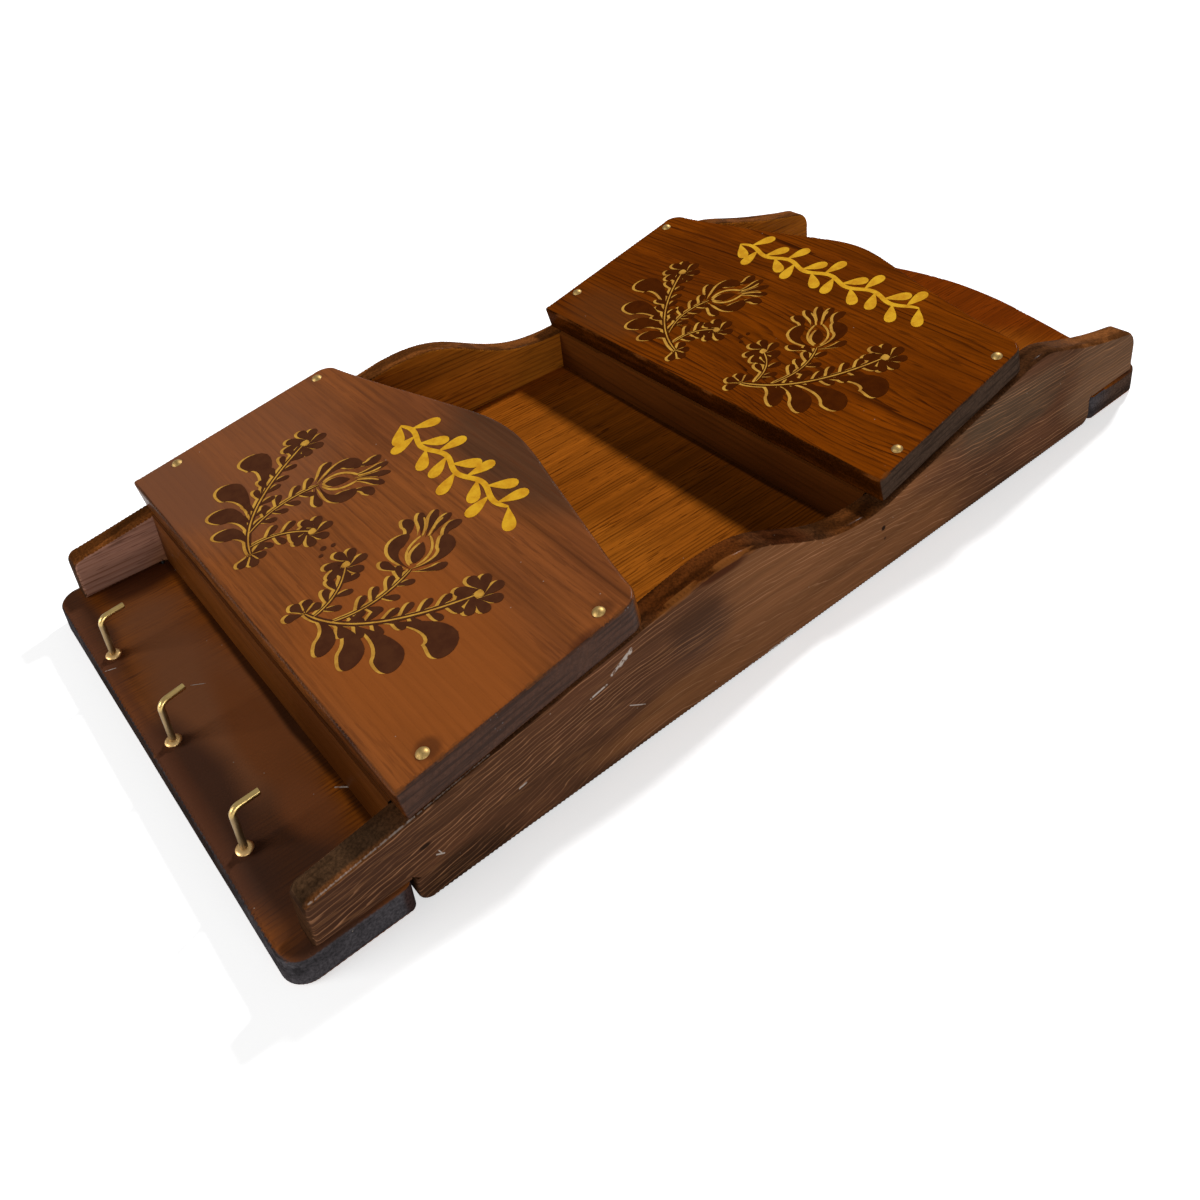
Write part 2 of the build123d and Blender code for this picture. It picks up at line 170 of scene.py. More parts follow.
class Shader(Nodes):
    """Builds the surface of one material."""

    def __init__(self, name: str) -> None:
        """Start an empty material."""
        self.material = bpy.data.materials.new(name)
        self.material.use_nodes = True
        super().__init__(self.material.node_tree)

    def swing(self, value: Value, size: float) -> Socket:
        """Noise from 0 to 1 turned into a swing about zero."""
        return self.times(self.minus(value, 0.5), size)

    def vector(self, operation: str, *values: object, scale: Optional[Socket] = None
               ) -> bpy.types.NodeOutputs:
        """Work out one or two vectors.

        Args:
            operation: name of the operation.
            values: the vectors.
            scale: factor of the SCALE operation.

        Returns:
            The outputs "Vector" and "Value".
        """
        fill = dict(enumerate(values))
        if scale is not None:
            fill["Scale"] = scale
        return self.add("ShaderNodeVectorMath", fill, operation=operation).outputs

    def remap(self, value: Value, low: float, high: float, to_low: float = 0.0,
              to_high: float = 1.0, smooth: bool = True) -> Socket:
        """Stretch a value from one range onto another and hold it inside.

        Args:
            value: the value.
            low: start of its range.
            high: end of its range.
            to_low: result at the start.
            to_high: result at the end.
            smooth: whether the result eases in and out.

        Returns:
            The result.
        """
        fill = dict(enumerate((value, low, high, to_low, to_high)))
        return self.add("ShaderNodeMapRange", fill, clamp=True,
                        interpolation_type="SMOOTHSTEP" if smooth else "LINEAR").outputs[0]

    def mapped(self, at: Socket, scale: Sequence[float] = (1, 1, 1),
               turn: Sequence[float] = (0, 0, 0), shift: Sequence[float] = (0, 0, 0)) -> Socket:
        """Scale, turn and shift coordinates.

        Args:
            at: the coordinates.
            scale: factors in the three directions.
            turn: angles about the three axes, in degrees.
            shift: what is added.

        Returns:
            The new coordinates.
        """
        angles = [math.radians(angle) for angle in turn]
        fill = {"Vector": at, "Location": shift, "Rotation": angles, "Scale": scale}
        return self.add("ShaderNodeMapping", fill).outputs[0]

    def noise(self, at: Socket, scale: float = 1.0, detail: float = 2.0,
              roughness: float = 0.5) -> Socket:
        """Smooth noise from 0 to 1, with its waves per unit, finer layers and their strength."""
        fill = {"Vector": at, "Scale": scale, "Detail": detail, "Roughness": roughness}
        return self.add("ShaderNodeTexNoise", fill).outputs[0]

    def drawn(self, at: Socket, waves: Sequence[float], detail: float = 2.0,
              roughness: float = 0.5) -> Socket:
        """Noise drawn out along the grain, with its waves per metre in three directions."""
        return self.noise(self.mapped(at, scale=waves), 1.0, detail, roughness)

    def blend(self, share: Value, a: object, b: object, mode: str = "MIX") -> Socket:
        """A colour with another laid over it, at a strength from 0 to 1."""
        return self.add("ShaderNodeMix", {0: share, 6: a, 7: b}, data_type="RGBA",
                        blend_type=mode, clamp_factor=True).outputs[2]

    def object_place(self) -> Socket:
        """Object coordinates in metres."""
        return self.add("ShaderNodeTexCoord").outputs["Object"]

    def facing(self, axis: Axis) -> Socket:
        """How squarely the surface faces along an axis, from 0 to 1."""
        normal = self.add("ShaderNodeTexCoord").outputs["Normal"]
        return self.math("ABSOLUTE", self.vector("DOT_PRODUCT", normal, axis.value)["Value"])

    def attribute(self, name: str) -> Socket:
        """Number kept on the mesh."""
        return self.add("ShaderNodeAttribute", attribute_name=name).outputs["Fac"]

    def specks(self, at: Socket, cell: float, size: float, share: float) -> Socket:
        """Scatter small round specks.

        Args:
            at: the coordinates.
            cell: size of the cells that hold one speck each, in metres.
            size: radius of a speck as a share of its cell.
            share: share of the cells that have a speck.

        Returns:
            The specks' mask.
        """
        cells = self.add("ShaderNodeTexVoronoi", {"Vector": at, "Scale": 1.0 / cell},
                         feature="F1").outputs
        dot = self.remap(cells["Distance"], size * 0.6, size, 1.0, 0.0)
        pick = self.add("ShaderNodeSeparateColor", {0: cells["Color"]}).outputs[0]
        return self.times(dot, self.math("LESS_THAN", pick, share))

    def finish(self, colour: object, roughness: object, height: Optional[Socket] = None,
               relief: float = 0.0002, strength: float = 0.5, **others: object) -> Material:
        """Close the material with a surface shader.

        Args:
            colour: base colour, constant or linked.
            roughness: roughness, constant or linked.
            height: bump height from 0 to 1.
            relief: depth of the bump in metres.
            strength: strength of the bump.
            others: other inputs of the surface shader by name, with _ for spaces.

        Returns:
            The finished material.
        """
        fill = {key.replace("_", " "): value for key, value in others.items()}
        fill.update({"Base Color": colour, "Roughness": roughness})
        if height is not None:
            fill["Normal"] = self.add("ShaderNodeBump", {
                "Strength": strength, "Distance": relief, "Height": height}).outputs[0]
        surface = self.add("ShaderNodeBsdfPrincipled", fill)
        self.add("ShaderNodeOutputMaterial", {"Surface": surface.outputs[0]})
        return self.material


@dataclass(frozen=True)
class ScratchAndHighlight:
    """Pale line between two points of the frame, in millimetres: a scratch, or a painted highlight
    along an arris.
    """

    start: Point
    end: Point
    width: float = 0.35
    share: float = 1.0


@dataclass(frozen=True)
class Zone:
    """Round cloud of another tone, with its centre and reach in millimetres of the frame."""

    centre: Point
    reach: Point
    tone: Colour
    share: float = 0.8


@dataclass(frozen=True)
class Swell:
    """Place where the rings rise over a hidden branch, in millimetres."""

    centre: Point
    reach: Point
    height: float


@dataclass(frozen=True)
class Figure:
    """Patterns of one board that the parts of its finish share."""

    at: Socket
    line: Socket
    strength: Socket
    fibre: Socket
    streak: Socket
    chip: Socket
    cloud: Socket
    ragged: Socket
    end: Socket


@dataclass(frozen=True)
class StainedWood:
    """Softwood board stained dark and varnished.

    The pith line runs beside the board, so rings cut the face as straight lines or, where the pith
    drifts away from the face along the board, as long arches.
    """

    name: str
    grain: Axis
    early: Colour
    late: Colour
    blotch: Colour
    end: Colour
    worn: Colour
    tilt: float = 0.0
    ring: float = 2.6
    contrast: float = 0.8
    pith: Pair = (0.03, -0.05)
    drift: Pair = (0.0, 0.06)
    wobble: float = 4.0
    blotch_share: float = 0.5
    blotch_size: float = 0.06
    wear_from: float = 0.86
    speck_share: float = 0.0
    line_width: float = 0.45
    waver: float = 18.0
    swells: tuple[Swell, ...] = ()
    edge: Optional[Colour] = None
    edge_axis: Axis = Axis.Z
    edge_away: bool = False
    edge_zones: tuple[Zone, ...] = ()
    fleck: Colour = (0.03, 0.008, 0.002)
    fleck_share: float = 0.0
    roughness: float = 0.34
    specular: float = 0.22
    coat: float = 0.12
    seed: float = 0.0
    zones: tuple[Zone, ...] = ()
    # Zones laid over everything else: real tones, and on some boards painted light and shade.
    films_and_painted_light: tuple[Zone, ...] = ()
    scratches_and_highlights: tuple[ScratchAndHighlight, ...] = ()

    def along(self, shader: Shader) -> Socket:
        """Coordinates that follow the board.

        Args:
            shader: the material being built.

        Returns:
            Metres along the grain, across it and into the board.
        """
        parts = shader.split(shader.mapped(shader.object_place(), turn=(-self.tilt, 0, 0)))
        order = {Axis.X: (0, 1, 2), Axis.Y: (1, 0, 2), Axis.Z: (2, 0, 1)}[self.grain]
        joined = shader.add("ShaderNodeCombineXYZ", {i: parts[k] for i, k in enumerate(order)})
        return shader.mapped(joined.outputs[0], shift=(self.seed, 0, 0))

    def rings(self, shader: Shader, at: Socket) -> tuple[Socket, Socket]:
        """Cut the year rings with the board's faces.

        Args:
            shader: the material being built.
            at: coordinates along the board.

        Returns:
            Late-wood lines, and the strength of each ring.
        """
        parts = shader.split(at)
        wave = shader.plus(
            shader.swing(shader.drawn(at, (4, 16, 16)), self.wobble * MM * 2),
            shader.swing(shader.drawn(at, (self.waver, 90, 90)), self.ring * MM * 0.9),
            shader.swing(shader.drawn(at, (7, 300, 300)), self.ring * MM * 1.1))
        risen = self.risen(shader)
        squares = []
        for index in (0, 1):
            slide = shader.times(parts[0], self.drift[index])
            if index == 1 and risen is not None:
                slide = shader.minus(slide, risen)
            offset = shader.plus(shader.minus(parts[index + 1], self.pith[index]), slide, wave)
            squares.append(shader.times(offset, offset))
        radius = shader.math("SQRT", shader.plus(*squares))
        count = shader.math("DIVIDE", radius, self.ring * MM)
        within = shader.math("FRACT", count)
        rise = shader.remap(within, 1 - self.line_width, 0.95)
        fall = shader.remap(within, 0.96, 1.0, 1.0, 0.0, smooth=False)
        own = shader.add("ShaderNodeTexWhiteNoise", {"W": shader.math("FLOOR", count)},
                         noise_dimensions="1D").outputs["Value"]
        strength = shader.remap(own, 0.0, 1.0, 0.2, 1.0, smooth=False)
        return shader.times(rise, fall), strength

    def near(self, shader: Shader, centre: Sequence[float], reach: Sequence[float]) -> Socket:
        """Measure from a centre.

        Args:
            shader: the material being built.
            centre: the centre, in millimetres of the frame.
            reach: the length that counts as one, in each direction.

        Returns:
            The distance, counted in reaches.
        """
        local = shader.mapped(shader.object_place(), scale=[1 / (s * MM) for s in reach],
                              shift=[-c / s for c, s in zip(centre, reach)])
        return shader.vector("LENGTH", local)["Value"]

    def risen(self, shader: Shader) -> Optional[Socket]:
        """Add up how far the swells lift the rings.

        Args:
            shader: the material being built.

        Returns:
            The lift in metres, or nothing on a board without swells.
        """
        lifts = []
        for swell in self.swells:
            away = self.near(shader, swell.centre, swell.reach)
            bell = shader.math("EXPONENT", shader.times(away, away, -1.0))
            lifts.append(shader.times(bell, swell.height * MM))
        return shader.plus(*lifts) if lifts else None

    def clouded(self, shader: Shader, colour: Value, zones: Sequence[Zone], ragged: Socket
                ) -> Value:
        """Lay zones of other tones over a colour.

        Args:
            shader: the material being built.
            colour: the colour beneath.
            zones: the zones, the first one lowest.
            ragged: how far the zones' edges wander.

        Returns:
            The colour with the zones on it.
        """
        for zone in zones:
            edge = shader.plus(self.near(shader, zone.centre, zone.reach), ragged)
            mask = shader.times(shader.remap(edge, 0.5, 1.15, 1.0, 0.0), zone.share)
            colour = shader.blend(mask, colour, zone.tone)
        return colour

    def scratch_and_highlight_mask(self, shader: Shader) -> Optional[Socket]:
        """Draw the scratches and the painted highlights.

        Args:
            shader: the material being built.

        Returns:
            Their mask, or nothing on a board without either.
        """
        place = shader.object_place()
        masks = []
        for pale_line in self.scratches_and_highlights:
            start, width = Vector(pale_line.start) * MM, pale_line.width * MM
            run = Vector(pale_line.end) * MM - start
            offset = shader.vector("SUBTRACT", place, start)["Vector"]
            along = shader.vector("DOT_PRODUCT", offset, run / run.length_squared)["Value"]
            share = shader.math("ADD", along, 0.0, clamp=True)
            foot = shader.vector("SCALE", run, scale=share)["Vector"]
            gap = shader.vector("DISTANCE", offset, foot)["Value"]
            masks.append(shader.remap(gap, width * 0.4, width, pale_line.share, 0.0))
        if not masks:
            return None
        broken = shader.remap(shader.noise(place, 600.0), 0.32, 0.5)
        return shader.times(reduce(lambda a, b: shader.math("MAXIMUM", a, b), masks), broken)

    def figure(self, shader: Shader) -> Figure:
        """Build the patterns that the finish is made of.

        Args:
            shader: the material being built.

        Returns:
            The patterns.
        """
        at = self.along(shader)
        line, strength = self.rings(shader, at)
        cloud = shader.noise(shader.mapped(at, scale=(0.45, 1, 1)), 1.0 / self.blotch_size, 3.0,
                             0.55)
        return Figure(
            at=at, line=line, strength=strength, cloud=cloud, ragged=shader.swing(cloud, 1.4),
            fibre=shader.drawn(at, (30, 900, 900), 3.0, 0.6),
            streak=shader.drawn(at, (6, 160, 160), 3.0, 0.55),
            chip=shader.drawn(at, (70, 260, 260), 3.0, 0.6),
            end=shader.remap(shader.facing(self.grain), 0.55, 0.85))

    def face_colour(self, shader: Shader, figure: Figure) -> Value:
        """Colour the faces along the grain.

        Args:
            shader: the material being built.
            figure: the board's patterns.

        Returns:
            Stain, rings, fibres, flecks and zones.
        """
        broken = shader.remap(shader.drawn(figure.at, (16, 210, 210)), 0.36, 0.58, 0.3, 1.0)
        tone = shader.times(figure.line, figure.strength, self.contrast, broken)
        patch = shader.times(shader.remap(figure.cloud, 0.42, 0.66), self.blotch_share)
        colour = shader.blend(patch, self.early, self.blotch)
        colour = self.clouded(shader, colour, self.zones, figure.ragged)
        colour = shader.blend(tone, colour, self.late)
        shade = shader.plus(shader.remap(figure.fibre, *MOST, 0.80, 1.10, smooth=False),
                            shader.remap(figure.streak, *MOST, -0.22, 0.16, smooth=False))
        colour = shader.blend(1.0, colour, shade, mode="MULTIPLY")
        if self.fleck_share > 0:
            dash = shader.remap(shader.drawn(figure.at, (75, 1150, 1150), 2.0, 0.6), 0.55, 0.66)
            gather = shader.remap(figure.streak, 0.38, 0.62, 0.3, self.fleck_share)
            colour = shader.blend(shader.times(dash, gather), colour, self.fleck)
        return self.clouded(shader, colour, self.films_and_painted_light, figure.ragged)

    def end_colour(self, shader: Shader, figure: Figure) -> Socket:
        """Colour the ends across the grain.

        Args:
            shader: the material being built.
            figure: the board's patterns.

        Returns:
            The ends' stain, darker in pores and bands.
        """
        pores = shader.drawn(figure.at, (400, 700, 700), 2.0, 0.7)
        bands = shader.drawn(figure.at, (200, 55, 850), 3.0, 0.6)
        dark = shader.math("MAXIMUM", shader.remap(pores, 0.35, 0.7, 0.0, 0.6),
                           shader.remap(bands, 0.44, 0.62, 0.0, 0.9))
        return shader.blend(dark, self.end, tuple(value * 0.4 for value in self.end))

    def edged(self, shader: Shader, figure: Figure, colour: Value) -> Value:
        """Lay the rubbed stain of the edges over a colour.

        Args:
            shader: the material being built.
            figure: the board's patterns.
            colour: the colour beneath.

        Returns:
            The colour with the edges on it.
        """
        if self.edge is None:
            return colour
        low, high = (0.2, 0.5) if self.edge_away else (0.4, 0.65)
        away = float(self.edge_away)
        edge = shader.remap(shader.facing(self.edge_axis), low, high, away, 1.0 - away)
        plain = self.clouded(shader, self.edge, self.edge_zones, figure.ragged)
        grit = shader.remap(shader.noise(shader.object_place(), 1100.0, 3.0, 0.7), *MOST, 0.65, 1.4)
        rubbed = shader.times(figure.streak, shader.remap(figure.chip, *MOST, 0.8, 1.2))
        rubbed = shader.times(shader.remap(rubbed, 0.36, 0.62, 0.5, 1.15), grit)
        return shader.blend(edge, colour, shader.blend(1.0, plain, rubbed, mode="MULTIPLY"))

    def marked(self, shader: Shader, figure: Figure, colour: Value) -> Socket:
        """Lay specks, dust, scratches and painted highlights over a colour.

        Args:
            shader: the material being built.
            figure: the board's patterns.
            colour: the colour beneath.

        Returns:
            The colour with the marks on it.
        """
        place = shader.object_place()
        if self.speck_share > 0:
            dots = shader.specks(place, 0.0012, 0.30, self.speck_share)
            gather = shader.remap(shader.noise(place, 38.0), 0.52, 0.62)
            colour = shader.blend(shader.times(dots, gather, figure.end), colour, SPECK_COLOUR)
        dust = shader.times(shader.specks(place, 0.006, 0.045, 0.25), 0.55)
        colour = shader.blend(dust, colour, DUST_COLOUR)
        marks = self.scratch_and_highlight_mask(shader)
        return colour if marks is None else shader.blend(marks, colour, SCRATCH_AND_HIGHLIGHT_COLOUR)

    def build(self) -> Material:
        """Make the material.

        Returns:
            The board's material.
        """
        shader = Shader(self.name)
        figure = self.figure(shader)
        colour = shader.blend(figure.end, self.face_colour(shader, figure),
                              self.end_colour(shader, figure))
        colour = self.edged(shader, figure, colour)
        worn = shader.plus(shader.attribute("wear"), shader.swing(figure.chip, 0.9))
        worn = shader.times(shader.remap(worn, self.wear_from, self.wear_from + 0.18), 0.75)
        colour = self.marked(shader, figure, shader.blend(worn, colour, self.worn))
        rough = shader.remap(figure.fibre, *MOST, self.roughness - 0.05, self.roughness + 0.1,
                             smooth=False)
        rough = shader.plus(rough, shader.times(worn, 0.2))
        height = shader.plus(shader.times(figure.line, 0.35), shader.times(figure.fibre, 0.45))
        return shader.finish(
            colour, rough, height, relief=0.00025, strength=0.35, Coat_Weight=self.coat,
            Coat_Roughness=0.16, Specular_IOR_Level=self.specular)


@dataclass(frozen=True)
class Paint:
    """Thick stencil paint, a little uneven."""

    name: str
    colour: Colour
    shade: Colour
    roughness: float = 0.42

    def build(self) -> Material:
        """Make the material.

        Returns:
            The paint's material.
        """
        shader = Shader(self.name)
        place = shader.object_place()
        mottle = shader.noise(place, 220.0, 4.0, 0.6)
        grit = shader.noise(place, 2200.0, 2.0, 0.6)
        thin = shader.drawn(place, (40, 500, 500))
        colour = shader.blend(shader.remap(mottle, 0.35, 0.7), self.colour, self.shade)
        colour = shader.blend(shader.remap(thin, 0.62, 0.8, 0.0, 0.35), colour, self.shade)
        rough = shader.remap(grit, *MOST, self.roughness - 0.06, self.roughness + 0.1)
        return shader.finish(colour, rough, grit, relief=0.00006, strength=0.4,
                             Specular_IOR_Level=0.0, Coat_Weight=0.02)


@dataclass(frozen=True)
class Metal:
    """Drawn, pressed or plated metal with a slight tarnish; below a level of the frame it is rougher,
    and darker by a painted reflection of the wood.
    """

    name: str
    colour: Colour
    tarnish: Colour
    roughness: float
    tarnish_share: float = 0.4
    scale: float = 260.0
    dark_reflection: Optional[Colour] = None
    dull_and_dark_below: float = 26.0
    dull_and_dark_fade: float = 2.5

    def build(self) -> Material:
        """Make the material.

        Returns:
            The metal's material.
        """
        shader = Shader(self.name)
        place = shader.object_place()
        cloud = shader.noise(place, self.scale, 4.0, 0.6)
        scuff = shader.noise(place, 650.0)
        share = shader.times(shader.remap(cloud, 0.45, 0.72), self.tarnish_share)
        colour = shader.blend(share, self.colour, self.tarnish)
        rough = shader.remap(cloud, 0.35, 0.7, self.roughness, self.roughness + 0.14)
        # Below the level the colour turns to a painted dark reflection of the wood, and the surface
        # gets rougher.
        if self.dark_reflection is not None:
            low = shader.remap(shader.split(place)[2], self.dull_and_dark_below * MM,
                               (self.dull_and_dark_below + self.dull_and_dark_fade) * MM, 1.0, 0.0)
            colour = shader.blend(low, colour, self.dark_reflection)
            rough = shader.plus(rough, shader.times(low, 0.16))
        return shader.finish(colour, rough, scuff, relief=0.00002, strength=0.2, Metallic=1.0)


def placed(name: str, data: bpy.types.ID) -> bpy.types.Object:
    """Show a mesh, curve, lamp or camera in the scene.

    Args:
        name: name of the object.
        data: what it holds.

    Returns:
        The new object.
    """
    made = bpy.data.objects.new(name, data)
    bpy.context.scene.collection.objects.link(made)
    return made


def mesh_of(name: str, shape: bmesh.types.BMesh) -> bpy.types.Mesh:
    """Keep an edited shape as a mesh and free it.

    Args:
        name: name of the mesh.
        shape: the shape.

    Returns:
        The mesh.
    """
    mesh = bpy.data.meshes.new(name)
    shape.to_mesh(mesh)
    shape.free()
    return mesh


def settled(owner: bpy.types.Object) -> bpy.types.Mesh:
    """Plain mesh of an object as its modifiers leave it."""
    ready = owner.evaluated_get(bpy.context.evaluated_depsgraph_get())
    return bpy.data.meshes.new_from_object(ready)


def round_quads(lower: int, upper: int, count: int) -> list[tuple[int, int, int, int]]:
    """Faces between two closed rows of points.

    Args:
        lower: number of the lower row's first point.
        upper: number of the upper row's first point.
        count: points in each row.

    Returns:
        The faces' corners.
    """
    pairs = [(i, (i + 1) % count) for i in range(count)]
    return [(lower + i, lower + j, upper + j, upper + i) for i, j in pairs]


def wander(loop: np.ndarray, length: float, seed: float) -> np.ndarray:
    """Smooth noise from -1 to 1 at the points of an outline, with its wave's length."""
    return np.array([noise.noise(Vector((p[0] / length, p[1] / length, seed))) for p in loop])


def section_segments(node: bpy.types.Object, origin: np.ndarray, across: np.ndarray,
                     up: np.ndarray) -> np.ndarray:
    """Cut a piece's triangles with a plane.

    Args:
        node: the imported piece.
        origin: point on the plane, in metres.
        across: first direction in the plane.
        up: second direction in the plane.

    Returns:
        Segments in the plane, in millimetres, as an array of shape (count, 2, 2).
    """
    mesh = node.data
    places = np.empty(len(mesh.vertices) * 3)
    mesh.vertices.foreach_get("co", places)
    places = places.reshape(-1, 3) - origin
    mesh.calc_loop_triangles()
    corners = np.empty(len(mesh.loop_triangles) * 3, np.int32)
    mesh.loop_triangles.foreach_get("vertices", corners)
    corners = corners.reshape(-1, 3)
    height = places @ np.cross(across, up)
    height[np.abs(height) < 1e-8] = 1e-8
    flat = np.stack([places @ across, places @ up], axis=1) / MM
    signs = np.sign(height)[corners].sum(axis=1)
    found = []
    for corner in corners[np.abs(signs) < 3]:
        cut = []
        for first, second in ((0, 1), (1, 2), (2, 0)):
            a, b = sorted((corner[first], corner[second]), key=lambda i: tuple(places[i]))
            if height[a] * height[b] < 0:
                share = height[a] / (height[a] - height[b])
                cut.append(flat[a] + (flat[b] - flat[a]) * share)
        if len(cut) == 2 and np.linalg.norm(cut[0] - cut[1]) > 1e-5:
            found.append(cut)
    return np.array(found)


def longest_loop(segments: np.ndarray, reach: float = 0.02) -> np.ndarray:
    """Chain segments into closed loops and keep the one with the largest area.

    Args:
        segments: loose segments, as an array of shape (count, 2, 2).
        reach: largest gap between two segments that join, in millimetres.

    Returns:
        The loop's points, counterclockwise.
    """
    best, best_area = np.empty((0, 2)), 0.0
    rest = segments
    while len(rest):
        loop = [rest[0, 0], rest[0, 1]]
        rest = rest[1:]
        while len(rest):
            gap = np.linalg.norm(rest - loop[-1], axis=2)
            index, end = divmod(int(gap.argmin()), 2)
            if gap[index, end] > reach:
                break
            loop.append(rest[index, 1 - end])
            rest = np.delete(rest, index, 0)
        points = np.array(loop[:-1])
        x, y = points[:, 0], points[:, 1]
        area = 0.5 * float(np.sum(x * np.roll(y, -1) - np.roll(x, -1) * y))
        if abs(area) > abs(best_area):
            best, best_area = points, area
    return best if best_area > 0 else best[::-1]


def even_loop(loop: np.ndarray, step: float, near: float = 0.05, straight: float = 0.2
              ) -> np.ndarray:
    """Drop points in line and divide long runs.

    Args:
        loop: closed outline in millimetres.
        step: longest run.
        near: points closer than this are one.
        straight: turn in degrees below which a point is in line.

    Returns:
        The new outline.
    """
    spaced = [loop[0]]
    for point in loop[1:]:
        if np.linalg.norm(point - spaced[-1]) > near:
            spaced.append(point)
    loop = np.array(spaced)
    before, after = loop - np.roll(loop, 1, 0), np.roll(loop, -1, 0) - loop
    cross = before[:, 0] * after[:, 1] - before[:, 1] * after[:, 0]
    turn = np.arctan2(cross, (before * after).sum(1))
    loop = loop[np.abs(turn) > math.radians(straight)]
    points = []
    for a, b in zip(loop, np.roll(loop, -1, 0)):
        pieces = max(1, math.ceil(float(np.linalg.norm(b - a)) / step))
        points.extend(a + (b - a) * k / pieces for k in range(pieces))
    return np.array(points)


def nearest_on_loop(points: np.ndarray, loop: np.ndarray, batch: int = 2048
                    ) -> tuple[np.ndarray, np.ndarray]:
    """Measure from points to a closed loop.

    Args:
        points: the points.
        loop: the loop.
        batch: how many points are measured at a time.

    Returns:
        Distance of each point, and the index of its nearest run.
    """
    run = np.roll(loop, -1, 0) - loop
    square = (run * run).sum(1)
    distance, index = np.empty(len(points)), np.empty(len(points), int)
    for low in range(0, len(points), batch):
        part = points[low:low + batch, None] - loop[None]
        share = np.clip((part * run).sum(2) / square, 0, 1)
        gap = np.linalg.norm(part - share[..., None] * run, axis=2)
        index[low:low + batch] = gap.argmin(1)
        distance[low:low + batch] = gap.min(1)
    return distance, index


def inside_loop(points: np.ndarray, loop: np.ndarray) -> np.ndarray:
    """Find the points inside a closed loop.

    Args:
        points: the points.
        loop: the loop.

    Returns:
        True for each point inside.
    """
    x, y = points[:, 0][:, None], points[:, 1][:, None]
    ax, ay = loop[:, 0], loop[:, 1]
    bx, by = np.roll(ax, -1), np.roll(ay, -1)
    spans = (ay > y) != (by > y)
    with np.errstate(divide="ignore", invalid="ignore"):
        crossing = (bx - ax) * (y - ay) / (by - ay) + ax
    return ((x < crossing) & spans).sum(1) % 2 == 1


@dataclass(frozen=True)
class Rounding:
    """How an arris is rounded: radius in millimetres and how worn it is, along the outline."""

    radius: AlongOutline
    wear: AlongOutline


@dataclass(frozen=True)
class Arris:
    """Radius and wear of an arris on the outline, and its fall and marks on the face's points."""

    radius: np.ndarray
    wear: np.ndarray
    fall: np.ndarray
    marks: np.ndarray


